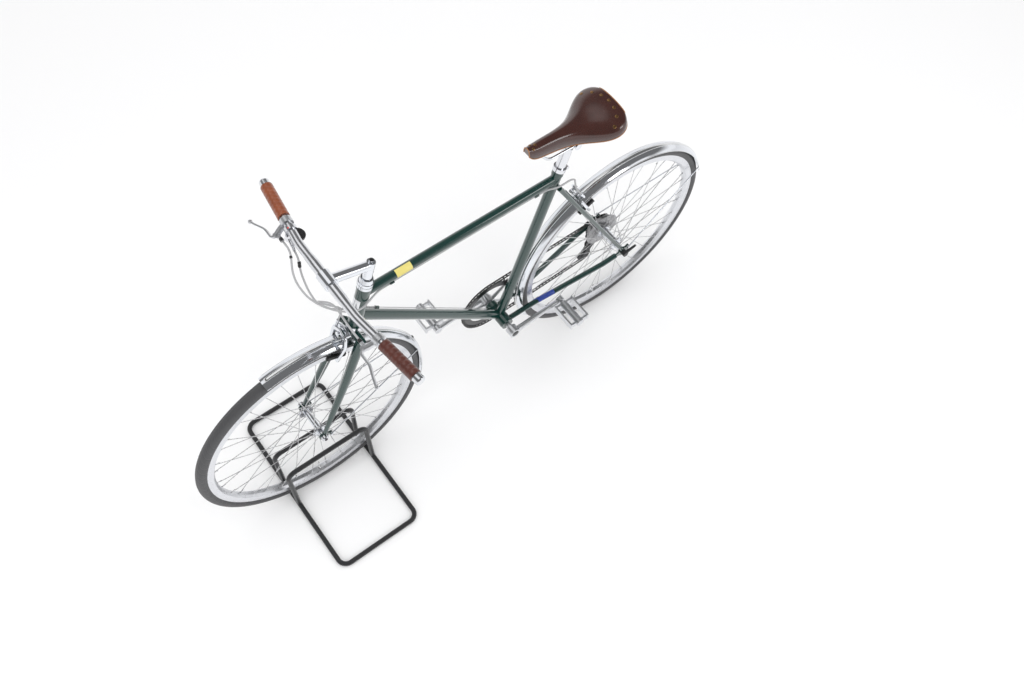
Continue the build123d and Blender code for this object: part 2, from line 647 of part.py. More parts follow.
def fork():
    """Crown, steerer and two raked blades that taper to their ends."""
    crown = rod(steer(CROWN_LOW), steer(CROWN_HIGH), 17.0)
    boss = rod(steer(CROWN_LOW + 14), steer(CROWN_LOW + 14, 19.5), 6.0)
    for side in (-1, 1):
        shoulder = rod(steer(CROWN_LOW + 12, 0, 0), steer(CROWN_LOW + 12, 0, side * 38), 11.4)
        crown = crown + shoulder
    crown = crown + boss
    steerer = rod(steer(CROWN_HIGH - 1), steer(HEAD_TUBE_HIGH + 12), STEERER_RADIUS)
    end = FRONT_HUB_WIDTH / 2 + DROPOUT_THICKNESS / 2
    body = crown + steerer
    for side in (-1, 1):
        stations = [
            (CROWN_LOW + 12, 0.0, 38.0, 12.5),
            (0.68 * CROWN_LOW, 0.27 * FORK_RAKE, 42.0, 12.0),
            (0.38 * CROWN_LOW, 0.58 * FORK_RAKE, 47.0, 9.5),
            (0.16 * CROWN_LOW, 0.83 * FORK_RAKE, 50.5, 7.0),
            (0.03 * CROWN_LOW, 0.96 * FORK_RAKE, end, 5.5),
        ]
        sections = []
        for number, (up, ahead, left, radius) in enumerate(stations):
            here = steer(up, ahead, side * left)
            before = stations[max(number - 1, 0)]
            after = stations[min(number + 1, len(stations) - 1)]
            way = steer(before[0], before[1]) - steer(after[0], after[1])
            sections.append(Plane(origin=here, z_dir=way.normalized()) * Circle(radius))
        blade = loft(sections)
        near = FRONT_HUB_WIDTH / 2 if side > 0 else -FRONT_HUB_WIDTH / 2 - DROPOUT_THICKNESS
        tip = side_plate(Pos(FRONT_AXLE.X, FRONT_AXLE.Z) * Circle(13), near, DROPOUT_THICKNESS)
        eye_at = Pos(FRONT_AXLE.X + FORK_EYE[0], FRONT_AXLE.Z + FORK_EYE[1])
        tip = tip + side_plate(eye_at * Circle(5.5) + Pos(FRONT_AXLE.X - 12, FRONT_AXLE.Z) * Circle(6), near, DROPOUT_THICKNESS)
        clear_in = rod(FRONT_AXLE, FRONT_AXLE + LEFT * side * FRONT_HUB_WIDTH / 2, 14)
        outer = FRONT_HUB_WIDTH / 2 + DROPOUT_THICKNESS
        clear_out = rod(FRONT_AXLE + LEFT * side * outer, FRONT_AXLE + LEFT * side * 80, 14)
        body = body + (blade - clear_in - clear_out) + tip
    return body - rod(FRONT_AXLE - LEFT * 80, FRONT_AXLE + LEFT * 80, AXLE_RADIUS + FIT)


def headset_top():
    race = rod(steer(CROWN_HIGH + FIT), steer(HEAD_TUBE_LOW - 9.6), 18.5)
    race = race - rod(steer(CROWN_HIGH - 5), steer(HEAD_TUBE_LOW), STEERER_RADIUS + FIT)
    low = HEAD_TUBE_HIGH + 10.6
    nut = rod(steer(low), steer(low + 8), 19.5)
    dome = rod(steer(low + 8), steer(low + 20), 18.0, 15.5)
    bore = rod(steer(low - 5), steer(low + 30), STEERER_RADIUS + FIT)
    return solids_of(race, nut + dome - bore)


def stem():
    """Quill with a tapered column, a forward arm and a split bar clamp."""
    foot = HEAD_TUBE_HIGH + 12 + FIT
    column = rod(steer(foot), steer(BAR_HEIGHT + 12), STEERER_RADIUS - 0.2, 11.0)
    bolt = rod(steer(BAR_HEIGHT + 12), steer(BAR_HEIGHT + 18), 6.5)
    arm = rod(steer(BAR_HEIGHT, 0), steer(BAR_HEIGHT, STEM_REACH), 12.0, 12.5)
    clamp = rod(steer(BAR_HEIGHT, STEM_REACH, -20), steer(BAR_HEIGHT, STEM_REACH, 20), BAR_CLAMP_RADIUS + 4.5)
    bore = rod(steer(BAR_HEIGHT, STEM_REACH, -30), steer(BAR_HEIGHT, STEM_REACH, 30), BAR_CLAMP_RADIUS + FIT)
    return column + bolt + arm + clamp - bore


def bar_point(left, ahead=0.0, up=0.0):
    """A point on the bar's centre line, on either side, beyond its bend."""
    side = 1 if left >= 0 else -1
    beyond = max(abs(left) - BAR_STRAIGHT, 0.0)
    back = beyond * sin(radians(BAR_SWEEP)) / cos(radians(BAR_SWEEP))
    return steer(BAR_HEIGHT + up, STEM_REACH - back + ahead, side * abs(left))


GRIP_OUTER = BAR_HALF_WIDTH - END_CAP_LENGTH - GRIP_GAP
GRIP_INNER = GRIP_OUTER - GRIP_LENGTH
LEVER_AT = GRIP_INNER - LEVER_SETBACK
SHIFTER_AT = GRIP_INNER - SHIFTER_SETBACK


def handlebar():
    """Flat bar with a thick middle, a gentle sweep and a rounded cap on each end."""
    end = BAR_HALF_WIDTH - END_CAP_LENGTH / 2
    points = [bar_point(-end), bar_point(-BAR_STRAIGHT), bar_point(BAR_STRAIGHT), bar_point(end)]
    body = pipe(points, [BAR_BEND, BAR_BEND], BAR_RADIUS)
    thick = BAR_STRAIGHT * 0.45
    taper = BAR_STRAIGHT * 0.7
    body = body + rod(bar_point(-thick), bar_point(thick), BAR_CLAMP_RADIUS)
    for side in (-1, 1):
        body = body + rod(bar_point(side * thick), bar_point(side * taper), BAR_CLAMP_RADIUS, BAR_RADIUS)
        cap = rod(bar_point(side * (BAR_HALF_WIDTH - END_CAP_LENGTH)), bar_point(side * BAR_HALF_WIDTH), END_CAP_RADIUS)
        far = cap.edges().sort_by(Axis.Y)[-1 if side > 0 else 0]
        body = body + fillet(far, 5.0)
    return body


def grips():
    made = []
    for side in (-1, 1):
        body = rod(bar_point(side * GRIP_INNER), bar_point(side * GRIP_OUTER), GRIP_RADIUS)
        bore = rod(bar_point(side * (GRIP_INNER - 9)), bar_point(side * (GRIP_OUTER + 9)), BAR_RADIUS + SEAT_GAP)
        made.append(body - bore)
    return solids_of(*made)


def lever_point(left, out, through=0.0):
    """A point in the plane of a brake lever, out from the bar's centre line."""
    a = radians(LEVER_DROP)
    return bar_point(left, out * cos(a) + through * sin(a), through * cos(a) - out * sin(a))


def brake_levers():
    """Each lever: a clamp on the bar, a bracket with its pivot, a curved blade and a cable barrel."""
    made = []
    across = lever_point(0, 0, 1) - lever_point(0, 0)
    for side in (-1, 1):
        near = side * (LEVER_AT - LEVER_CLAMP_LENGTH / 2)
        far = side * (LEVER_AT + LEVER_CLAMP_LENGTH / 2)
        clamp = rod(bar_point(near), bar_point(far), BAR_RADIUS + 4)
        bracket = strap(
            [lever_point(side * LEVER_AT, 9), lever_point(side * (LEVER_AT - 3), 24), lever_point(side * (LEVER_AT - 9), 42)],
            [9.0], 15.0, 13.0, across)
        pivot = lever_point(side * (LEVER_AT - 8), 38)
        pin = rod(pivot - across * 9.5, pivot + across * 9.5, 4.5)
        blade = strap([
            lever_point(side * (LEVER_AT - 13), 33), lever_point(side * (LEVER_AT - 2), 50),
            lever_point(side * (LEVER_AT + 30), 54), lever_point(side * (LEVER_AT + 60), 70),
            lever_point(side * (LEVER_AT + 76), 77),
        ], [9.0, 45.0, 60.0], LEVER_BLADE_WIDTH, LEVER_BLADE_THICKNESS, across)
        tip = Solid.make_sphere(5.5, Plane(origin=lever_point(side * (LEVER_AT + 77), 77.5)))
        barrel = rod(lever_point(side * (LEVER_AT - 6), 34), lever_point(side * (LEVER_AT - 22), 32), 4.5)
        barrel = barrel + rod(lever_point(side * (LEVER_AT - 22), 32), lever_point(side * (LEVER_AT - 32), 30.75), 3.8)
        bore = rod(bar_point(side * (LEVER_AT - 30)), bar_point(side * (LEVER_AT + 30)), BAR_RADIUS + SEAT_GAP)
        made.append(clamp + bracket + pin + blade + tip + barrel - bore)
    return solids_of(*made)


def shifter():
    """Trigger shifter under the right side of the bar, with its half round thumb paddle."""
    at = -SHIFTER_AT
    clamp = rod(bar_point(at - 6), bar_point(at + 6), BAR_RADIUS + 4)
    pod = rod(bar_point(at, -4, -10), bar_point(at, -2, -32), 15.0, 13.0)
    nose = rod(bar_point(at + 8, 2, -23), bar_point(at + 28, 4.4, -24.5), 6.5, 5.0)
    adjuster = rod(bar_point(at + 28, 4.4, -24.5), bar_point(at + SHIFTER_REACH, 5.8, -25.4), 4.0)
    flat = Plane(origin=bar_point(at + 11, -13, -12), x_dir=LEFT, z_dir=STEER_UP)
    paddle = extrude(flat * (Circle(19.0) - Pos(0, -20) * Rectangle(60, 40)), amount=5.0)
    arm = rod(bar_point(at, -4, -24), bar_point(at + 11, -20, -10), 4.0)
    bore = rod(bar_point(at - 40), bar_point(at + 30), BAR_RADIUS + SEAT_GAP)
    return clamp + pod + nose + adjuster + arm + paddle - bore


# ---------------------------------------------------------------- brakes and mudguards
CROWN = steer((CROWN_LOW + CROWN_HIGH) / 2)
CROWN_RADIUS = (CROWN - FRONT_AXLE).length
BRIDGE_RADIUS = GUARD_OUTER + 9.0


def angle_of(way):
    return degrees(atan2(way.Z, way.X))


def stay_centre(radius):
    """Where the seat stays' common plane passes a given distance from the rear axle."""
    low = REAR_AXLE + Vector(6, 0, 14)
    high = SEAT_STAY_TOP + Vector(-8, 0, 0)
    share = (radius - (low - REAR_AXLE).length) / (high - low).length
    return low + (high - low) * share


BRIDGE = stay_centre(BRIDGE_RADIUS)
PAD_RADIUS = RIM_BEAD_RADIUS - 4.0
FRONT_CALIPER = (FRONT_AXLE, angle_of(CROWN - FRONT_AXLE), 1)
REAR_CALIPER = (REAR_AXLE, angle_of(BRIDGE - REAR_AXLE), -1)
FRONT_CALIPER_DEPTH = 20.5       # from the wheel's radius through the crown
REAR_CALIPER_DEPTH = 8.0


def caliper_point(mount, height, left, depth):
    """A point in a caliper's frame: mount is (axle, angle, outward)."""
    axle, angle, outward = mount
    a = radians(angle)
    up = Vector(cos(a), 0, sin(a))
    ahead = Vector(sin(a), 0, -cos(a)) * outward
    return axle + up * height + LEFT * left + ahead * depth


def arm_depth(side, mount, near):
    """The arm that carries the cable barrel lies farther from the fork or bridge."""
    return near + (21.0 if side * mount[2] > 0 else 7.0)


def cable_anchor(mount, bolt_radius, near, above):
    """A point over the barrel where the cable meets a caliper."""
    return caliper_point(mount, bolt_radius + 30 + above, -19 * mount[2], arm_depth(mount[2], mount, near))


def caliper(mount, bolt_radius, near):
    """Dual pivot caliper in the plane across the wheel, with its cable barrel."""
    axle, angle, outward = mount

    def at(height, left, depth):
        return caliper_point(mount, height, left, depth)

    through = at(0, 0, 1) - at(0, 0, 0)
    arms = []
    for side in (-1, 1):
        depth = arm_depth(side, mount, near)
        route = [
            at(bolt_radius + 4, -side * 20, depth), at(bolt_radius + 11, -side * 2, depth),
            at(bolt_radius + 6, side * 24, depth), at(bolt_radius - 18, side * 34, depth),
            at(PAD_RADIUS - 7, side * 27, depth),
        ]
        arms.append(strap(route, [18.0, 14.0, 22.0], 9.0, 12.0, through))
    bolt = rod(at(bolt_radius + 2, 0, near), at(bolt_radius + 2, 0, near + 29), 5.0)
    pivot = rod(at(bolt_radius + 4, 19 * outward, near + 2), at(bolt_radius + 4, 19 * outward, near + 28), 4.5)
    barrel = rod(cable_anchor(mount, bolt_radius, near, -28), cable_anchor(mount, bolt_radius, near, 0), 4.0)
    body = arms[0] + arms[1] + bolt + pivot + barrel
    pads = []
    for side in (-1, 1):
        depth = arm_depth(side, mount, near)
        inner = RIM_WIDTH / 2 + 3.0
        holder = at(PAD_RADIUS, side * (inner + 4), depth)
        block = Box(55, 8, 11)
        block = block.rotate(Axis((0, 0, 0), (0, 1, 0)), 90 - angle).translate(holder)
        pads.append(block)
    return body - pads[0] - pads[1], solids_of(*pads)


def guard_sheet(axle, start, end):
    """Rolled sheet with an arched section, turned about the axle."""
    half = GUARD_WIDTH / 2
    centre = GUARD_INNER - GUARD_ARC_RADIUS
    inner = GUARD_ARC_RADIUS
    outer = inner + GUARD_SHEET
    low_in = centre + sqrt(inner**2 - half**2)
    low_out = centre + sqrt(outer**2 - half**2)
    edges = [
        ThreePointArc((low_in, -half), (centre + inner, 0), (low_in, half)),
        Line((low_in, half), (low_out, half)),
        ThreePointArc((low_out, half), (centre + outer, 0), (low_out, -half)),
        Line((low_out, -half), (low_in, -half)),
    ]
    return turned(make_face(edges), axle, start, end - start)


def guard_stay(axle, eye, angle, face):
    """One wire stay each side, from a screw on the eyelet's outer face to the guard's edge."""
    half_at_eye = face + 3.5
    half = GUARD_WIDTH / 2
    edge = GUARD_INNER - GUARD_ARC_RADIUS + sqrt(GUARD_ARC_RADIUS**2 - half**2)
    made = []
    for side in (-1, 1):
        start = axle + Vector(eye[0], side * half_at_eye, eye[1])
        end = about(axle, edge + 2, angle, side * (half + STAY_WIRE_RADIUS - 1.0))
        screw = rod(start - LEFT * side * (3.5 - FIT), start + LEFT * side * 3, 4.0)
        made.append(rod(start, end, STAY_WIRE_RADIUS) + screw)
    return made


def front_mudguard():
    sheet = guard_sheet(FRONT_AXLE, FRONT_GUARD_START, FRONT_GUARD_END)
    stays = guard_stay(FRONT_AXLE, FORK_EYE, 166, FRONT_HUB_WIDTH / 2 + DROPOUT_THICKNESS)
    return sheet + stays[0] + stays[1]


def rear_mudguard():
    sheet = guard_sheet(REAR_AXLE, REAR_GUARD_START, REAR_GUARD_END)
    stays = guard_stay(REAR_AXLE, GUARD_EYE, 160, REAR_HUB_WIDTH / 2 + DROPOUT_THICKNESS)
    return sheet + stays[0] + stays[1]


# ---------------------------------------------------------------- seat
POST_TOP = SEAT_TUBE_LENGTH + SEAT_POST_SHOWING


def seat_post():
    """Post with the collar and bolt that pinch the seat lug on it."""
    post = rod(seat_line(SEAT_TUBE_LENGTH - SEAT_POST_SUNK), seat_line(POST_TOP), SEAT_POST_RADIUS)
    low = SEAT_TUBE_LENGTH + FIT
    collar = rod(seat_line(low), seat_line(low + COLLAR_HEIGHT), MAIN_TUBE_RADIUS + 3.0)
    bolt_at = seat_line(low + COLLAR_HEIGHT / 2) - SEAT_AHEAD * (MAIN_TUBE_RADIUS + 6)
    lug = rod(bolt_at - LEFT * 9, bolt_at + LEFT * 9, 5.5)
    bore = rod(seat_line(low - 20), seat_line(low + 20), SEAT_POST_RADIUS + FIT)
    return solids_of(post, collar + lug - bore)


def saddle_section(back, share, rise, deep, inset=0.0, extra=0.0):
    """Cross section of the leather: nearly flat on top, with sides that turn down."""
    post = seat_line(POST_TOP)
    x = post.X + SADDLE_NOSE - back * SADDLE_LENGTH
    plane = Plane(origin=(x, 0, post.Z + SADDLE_RISE + rise - inset), x_dir=(0, 1, 0), z_dir=(-1, 0, 0))
    half = SADDLE_WIDTH / 2 * share - inset
    top = [(-half, deep), (-0.9 * half, 0.42 * deep), (-0.55 * half, 0.1 * deep), (0, 0)]
    top += [(0.55 * half, 0.1 * deep), (0.9 * half, 0.42 * deep), (half, deep)]
    skirt = Polyline((half, deep), (half, deep + extra + 0.5), (-half, deep + extra + 0.5), (-half, deep))
    return plane * make_face(Spline(*top) + skirt)


SADDLE_STATIONS = [
    (0.0, 0.13, 5.0, 20.0), (0.04, 0.19, 3.0, 28.0), (0.16, 0.24, 2.0, 33.0), (0.36, 0.29, 0.0, 37.0),
    (0.57, 0.50, -1.0, 40.0), (0.74, 0.86, 3.0, 38.0), (0.87, 1.0, 8.0, 34.0), (0.95, 0.92, 10.0, 30.0),
    (1.0, 0.70, 11.0, 25.0),
]


def saddle():
    """Leather shell, open below, from a narrow nose to a broad, round rear."""
    outside = loft([saddle_section(*station) for station in SADDLE_STATIONS])
    stations = [(0.035, 0.17, 4.0, 27.0)] + SADDLE_STATIONS[2:-1] + [(0.985, 0.78, 10.8, 26.5)]
    inside = loft([saddle_section(*station, inset=LEATHER, extra=12.0) for station in stations])
    return outside - inside


def saddle_rails():
    """Two bent rails, the clamp that holds them on the post, and the plates that carry the leather."""
    post = seat_line(POST_TOP)
    made = []
    for side in (-1, 1):
        points = [
            post + Vector(SADDLE_NOSE - 20, side * 6, SADDLE_RISE - 14), post + Vector(SADDLE_NOSE - 55, side * 18, RAIL_RISE),
            post + Vector(-40, side * 22, RAIL_RISE), post + Vector(SADDLE_NOSE - 0.905 * SADDLE_LENGTH, side * 40, SADDLE_RISE - 3),
        ]
        made.append(pipe(points, [30, 30], RAIL_RADIUS))
    middle = seat_line(POST_TOP + RAIL_RISE + 1)
    bridge = rod(Vector(middle.X, -30, post.Z + RAIL_RISE), Vector(middle.X, 30, post.Z + RAIL_RISE), 10.0)
    neck = rod(seat_line(POST_TOP + FIT), middle, 12.0)
    nose_plate = Box(10, 19, 22).translate(post + Vector(SADDLE_NOSE - 22, 0, SADDLE_RISE - 13.8))
    cantle = saddle_section(0.90, 0.985, 9.0, 32.5, 1.0) - saddle_section(0.90, 0.985, 9.0, 32.5, 14.0, 30.0)
    cantle = extrude(cantle, amount=3.0)
    body = made[0] + made[1] + bridge + neck + nose_plate + cantle
    return body - saddle()


# ---------------------------------------------------------------- drive
def crank_point(side, along, left):
    angle = CRANK_ANGLE if side > 0 else CRANK_ANGLE + 180
    return about(BRACKET, along, angle, side * left)


def cranks():
    """Axle, both arms, the spider and the pedal spindles, as one turning piece."""
    axle = rod(BRACKET - LEFT * CRANK_INNER, BRACKET + LEFT * CRANK_INNER, 8.5)
    body = axle
    middle = CRANK_INNER + CRANK_THICKNESS / 2
    for side in (-1, 1):
        outer = CRANK_INNER + CRANK_THICKNESS
        boss = rod(BRACKET + LEFT * side * (CRANK_INNER - 8), BRACKET + LEFT * side * (outer + 2), 17.0)
        arm = rod(crank_point(side, 0, middle), crank_point(side, CRANK_LENGTH, middle + 2), 9.0, 7.0)
        eye = rod(crank_point(side, CRANK_LENGTH, CRANK_INNER + 2), crank_point(side, CRANK_LENGTH, outer + 2), 12.0)
        spindle = rod(crank_point(side, CRANK_LENGTH, outer), crank_point(side, CRANK_LENGTH, outer + PEDAL_GAP + PEDAL_WIDTH), 4.5)
        body = body + boss + arm + eye + spindle
    for number in range(5):
        start = about(BRACKET, 8, number * 72, -CHAIN_LINE - 6)
        end = about(BRACKET, 80, number * 72, -CHAIN_LINE - 5.2)
        body = body + rod(start, end, 6.0, 4.0)
    hub_disc = rod(BRACKET - LEFT * (CHAIN_LINE + 1), BRACKET - LEFT * CRANK_INNER, 20.0)
    return body + hub_disc


def pedal(side):
    """Barrel and a light cage, free on its spindle."""
    outer = CRANK_INNER + CRANK_THICKNESS
    near = outer + PEDAL_GAP
    far = near + PEDAL_WIDTH
    centre = crank_point(side, CRANK_LENGTH, 0)
    barrel = rod(centre + LEFT * side * near, centre + LEFT * side * (far + 4), 12.0)
    body = barrel
    for x in (-30, 30):
        plate = Box(5, PEDAL_WIDTH, 24).translate(centre + Vector(x, side * (near + far) / 2, 0))
        body = body + plate
    for y in (near + 4, far - 4):
        cross = Box(60, 6, 14).translate(centre + Vector(0, side * y, 0))
        body = body + cross
    bore = rod(centre + LEFT * side * (near - 5), centre + LEFT * side * (far + 1), 4.5 + RUNNING)
    return body - bore


def derailleur():
    """Two links between the hanger's bolt and a cage with two guide pulleys."""
    face = REAR_HUB_WIDTH / 2 + DROPOUT_THICKNESS
    bolt = REAR_AXLE + Vector(HANGER[0], 0, HANGER[1])
    made = rod(bolt - LEFT * (face + FIT), bolt - LEFT * (face + 17), 9.0)
    cage_near = CHAIN_LINE + 6.5
    made = made + rod(GUIDE_PULLEY - LEFT * cage_near, GUIDE_PULLEY - LEFT * (cage_near + 18), 8.5)
    for ahead in (-5.5, 5.5):
        high = bolt + Vector(ahead, -face - 11, 0)
        low = GUIDE_PULLEY + Vector(ahead, -cage_near - 12, 0)
        made = made + rod(high, low, 3.2)
    drop = TENSION_PULLEY - GUIDE_PULLEY
    centre = GUIDE_PULLEY + drop * 0.5
    tilt = degrees(atan2(drop.Z, drop.X))
    outline = Pos(centre.X, centre.Z) * Rot(0, 0, tilt) * SlotCenterToCenter(drop.length, 18)
    for near in (-cage_near, -CHAIN_LINE + 5.0):
        made = made + side_plate(outline, near, 1.5)
    for pulley in (GUIDE_PULLEY, TENSION_PULLEY):
        made = made + rod(pulley - LEFT * (CHAIN_LINE + 6.5), pulley - LEFT * (CHAIN_LINE - 6.5), 3.5)
        wheel = Circle(pitch_radius(PULLEY_TEETH) - CHAIN_HALF_HEIGHT - SEAT_GAP)
        made = made + placed_disc(wheel, pulley, -CHAIN_LINE, 2 * CHAIN_HALF_WIDTH)
    return made


# ---------------------------------------------------------------- stand and cables
def wheel_stand():
    """Bent rod: a closed base on the floor and two hoops welded astride the wheel."""
    r = STAND_ROD_RADIUS
    base = RectangleRounded(STAND_LENGTH, STAND_WIDTH, STAND_CORNER)
    path = Pos(FRONT_X, STAND_OFFSET, r) * base.wires()[0]
    start = Plane(origin=path @ 0, z_dir=path % 0)
    body = sweep(start * Circle(r), path=path)
    half = STAND_LENGTH / 2
    for side in (-1, 1):
        points = [
            Vector(FRONT_X - half, side * HOOP_FOOT, r), Vector(FRONT_X - half, side * HOOP_TOP - HOOP_LEAN, HOOP_HEIGHT),
            Vector(FRONT_X + half, side * HOOP_TOP - HOOP_LEAN, HOOP_HEIGHT), Vector(FRONT_X + half, side * HOOP_FOOT, r),
        ]
        body = body + pipe(points, [STAND_CORNER, STAND_CORNER], r)
    return body


def lever_cable(side):
    """The first two points of a brake cable, straight out of its lever's barrel."""
    start = lever_point(side * (LEVER_AT - 32 - SEAT_GAP), 30.72)
    return [start, lever_point(side * (LEVER_AT - 68), 26.25)]


def front_brake_cable():
    """From the left lever, across under the bar and down to the front caliper."""
    points = lever_cable(1) + [
        steer(556, 112, 30), steer(508, 118, -22), steer(478, 84, -24),
        cable_anchor(FRONT_CALIPER, CROWN_RADIUS, FRONT_CALIPER_DEPTH, 40),
        cable_anchor(FRONT_CALIPER, CROWN_RADIUS, FRONT_CALIPER_DEPTH, SEAT_GAP),
    ]
    return cable(points)


def handlebar_cables():
    """Rear brake and gear housings, from the bar round the head tube to the stops on the frame."""
    brake = cable(lever_cable(-1) + [
        steer(548, 152, -72), steer(532, 142, -12), steer(495, 80, 18), steer(482, 24, 32),
        beside_top_tube(STOP_AT - 34), beside_top_tube(STOP_AT - SEAT_GAP),
    ])
    end = -SHIFTER_AT + SHIFTER_REACH + SEAT_GAP
    gear = cable([
        bar_point(end, 5.8, -25.4), bar_point(end + 24, 8.7, -27.2),
        steer(545, 124, -84), steer(516, 120, -52), steer(470, 96, -38), steer(428, 50, -36),
        beside_down_tube(STOP_AT - 40), beside_down_tube(STOP_AT - SEAT_GAP),
    ])
    return solids_of(brake, gear)


def frame_cables():
    """Bare lines between the stops, and the housing from the top tube to the rear caliper."""
    after = STOP_AT + CABLE_STOP_LENGTH + SEAT_GAP
    brake = rod(beside_top_tube(after), beside_top_tube(LAST_STOP - SEAT_GAP), LINE_RADIUS)
    gear = rod(beside_down_tube(after), beside_down_tube(LOWER_STOP - SEAT_GAP), LINE_RADIUS)
    last = LAST_STOP + CABLE_STOP_LENGTH
    housing = cable([
        beside_top_tube(last + SEAT_GAP), beside_top_tube(last + 26),
        TOP_TUBE_REAR + Vector(8, 25, -5), TOP_TUBE_REAR + Vector(-42, 27, 2),
        cable_anchor(REAR_CALIPER, BRIDGE_RADIUS, REAR_CALIPER_DEPTH, 44),
        cable_anchor(REAR_CALIPER, BRIDGE_RADIUS, REAR_CALIPER_DEPTH, SEAT_GAP),
    ])
    return solids_of(brake, gear, housing)


NODES = {}
NODES["fork"] = fork()
NODES["headset_top"] = headset_top()
NODES["stem"] = stem()
NODES["handlebar"] = handlebar()
NODES["handlebar_grips"] = grips()
NODES["brake_levers"] = brake_levers()
NODES["gear_shifter"] = shifter()
NODES["front_brake"], NODES["front_brake_pads"] = caliper(FRONT_CALIPER, CROWN_RADIUS, FRONT_CALIPER_DEPTH)
NODES["front_mudguard"] = front_mudguard()
NODES["front_axle"] = front_axle()
NODES["wheel_stand"] = wheel_stand()
NODES["front_brake_cable"] = front_brake_cable()
NODES["handlebar_cables"] = handlebar_cables()
NODES["front_tyre"] = tyre(FRONT_AXLE)
NODES["front_rim"] = rim(FRONT_AXLE)
NODES["front_spokes"] = spokes(FRONT_AXLE, FRONT_FLANGE, FRONT_FLANGE, FRONT_FLANGE_RADIUS)
NODES["front_hub"] = hub(FRONT_AXLE, FRONT_FLANGE, FRONT_FLANGE, FRONT_FLANGE_RADIUS, 44.8, 44.8, 9.0, 8.5)
NODES["head_tube"] = head_tube()
NODES["top_tube"] = top_tube()
NODES["down_tube"] = down_tube()
NODES["seat_tube"] = seat_tube()
NODES["bracket_shell"] = bracket_shell()
NODES["chain_stays"] = solids_of(left_chain_stay(), mirrored(left_chain_stay()) + derailleur_hanger())
NODES["seat_stays"] = left_seat_stay() + mirrored(left_seat_stay()) + stay_bridge()
NODES["headset_cups"] = headset_cups()
NODES["seat_post"] = seat_post()
NODES["saddle_rails"] = saddle_rails()
NODES["saddle"] = saddle()
NODES["rear_brake"], NODES["rear_brake_pads"] = caliper(REAR_CALIPER, BRIDGE_RADIUS, REAR_CALIPER_DEPTH)
NODES["rear_mudguard"] = rear_mudguard()
NODES["rear_axle"] = rear_axle()
NODES["rear_derailleur"] = derailleur()
NODES["chain"] = chain()
NODES["frame_cables"] = frame_cables()
NODES["rear_tyre"] = tyre(REAR_AXLE)
NODES["rear_rim"] = rim(REAR_AXLE)
NODES["rear_spokes"] = spokes(REAR_AXLE, REAR_FLANGE_LEFT, REAR_FLANGE_RIGHT, REAR_FLANGE_RADIUS)
NODES["rear_hub"] = hub(REAR_AXLE, REAR_FLANGE_LEFT, REAR_FLANGE_RIGHT, REAR_FLANGE_RADIUS, 59.8, 61.8, 14.0, HUB_NECK_RADIUS)
NODES["cassette"] = cassette()
NODES["cranks"] = cranks()
NODES["chainring"] = chainring()
NODES["left_pedal"] = pedal(1)
NODES["right_pedal"] = pedal(-1)

os.makedirs("parts", exist_ok=True)
for name, shape in NODES.items():
    export_step(shape, f"parts/{name}.step")
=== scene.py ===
import bmesh
import bpy
from math import cos, pi, radians, sin
from mathutils import Matrix, Vector
from mathutils.bvhtree import BVHTree
from mathutils.kdtree import KDTree


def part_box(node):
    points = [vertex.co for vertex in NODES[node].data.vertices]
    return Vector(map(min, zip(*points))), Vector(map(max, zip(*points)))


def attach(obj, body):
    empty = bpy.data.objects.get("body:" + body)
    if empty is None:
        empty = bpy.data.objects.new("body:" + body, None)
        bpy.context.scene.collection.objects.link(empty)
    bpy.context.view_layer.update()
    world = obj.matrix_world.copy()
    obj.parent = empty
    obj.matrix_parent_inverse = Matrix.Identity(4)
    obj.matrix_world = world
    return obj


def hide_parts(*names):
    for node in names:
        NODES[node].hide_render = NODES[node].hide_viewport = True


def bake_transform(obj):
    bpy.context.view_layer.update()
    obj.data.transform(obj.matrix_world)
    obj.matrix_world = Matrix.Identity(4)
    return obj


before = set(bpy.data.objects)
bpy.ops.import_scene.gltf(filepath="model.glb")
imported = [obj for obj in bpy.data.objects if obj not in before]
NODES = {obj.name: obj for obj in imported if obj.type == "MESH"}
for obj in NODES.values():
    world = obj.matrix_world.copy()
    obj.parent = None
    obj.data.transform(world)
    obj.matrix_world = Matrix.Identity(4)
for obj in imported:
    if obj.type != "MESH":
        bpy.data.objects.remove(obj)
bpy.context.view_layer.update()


# ---------------------------------------------------------------- camera, floor and light
def aim_camera():
    """Camera above and ahead of the bicycle, on its left, rolled a little."""
    look_at = Vector((-0.1867, -0.0223, 0.0))
    turn, rise, roll = radians(49.28), radians(61.27), radians(4.11)
    distance, focal = 3.2866, 35.95
    back = Vector((cos(turn) * cos(rise), sin(turn) * cos(rise), sin(rise)))
    right = (-back).cross(Vector((0, 0, 1))).normalized()
    up = right.cross(-back)
    right, up = right * cos(roll) + up * sin(roll), up * cos(roll) - right * sin(roll)
    lens = bpy.data.cameras.new("camera")
    lens.lens = focal
    lens.sensor_width = 36.0
    lens.clip_start = 0.05
    camera = bpy.data.objects.new("camera", lens)
    camera.matrix_world = Matrix((
        (right.x, up.x, back.x, look_at.x + back.x * distance),
        (right.y, up.y, back.y, look_at.y + back.y * distance),
        (right.z, up.z, back.z, look_at.z + back.z * distance),
        (0, 0, 0, 1),
    ))
    bpy.context.scene.collection.objects.link(camera)
    bpy.context.scene.camera = camera


def mapped(tree, source, low, high, start, end):
    """A value that goes from start to end as its source goes from low to high."""
    node = tree.nodes.new("ShaderNodeMapRange")
    for name, value in (("From Min", low), ("From Max", high), ("To Min", start), ("To Max", end)):
        node.inputs[name].default_value = value
    tree.links.new(source, node.inputs["Value"])
    return node.outputs["Result"]


def maths(tree, operation, *values):
    """The result of one operation on sockets and plain numbers."""
    node = tree.nodes.new("ShaderNodeMath")
    node.operation = operation
    for socket, value in zip(node.inputs, values):
        if isinstance(value, bpy.types.NodeSocket):
            tree.links.new(value, socket)
        else:
            socket.default_value = value
    return node.outputs[0]


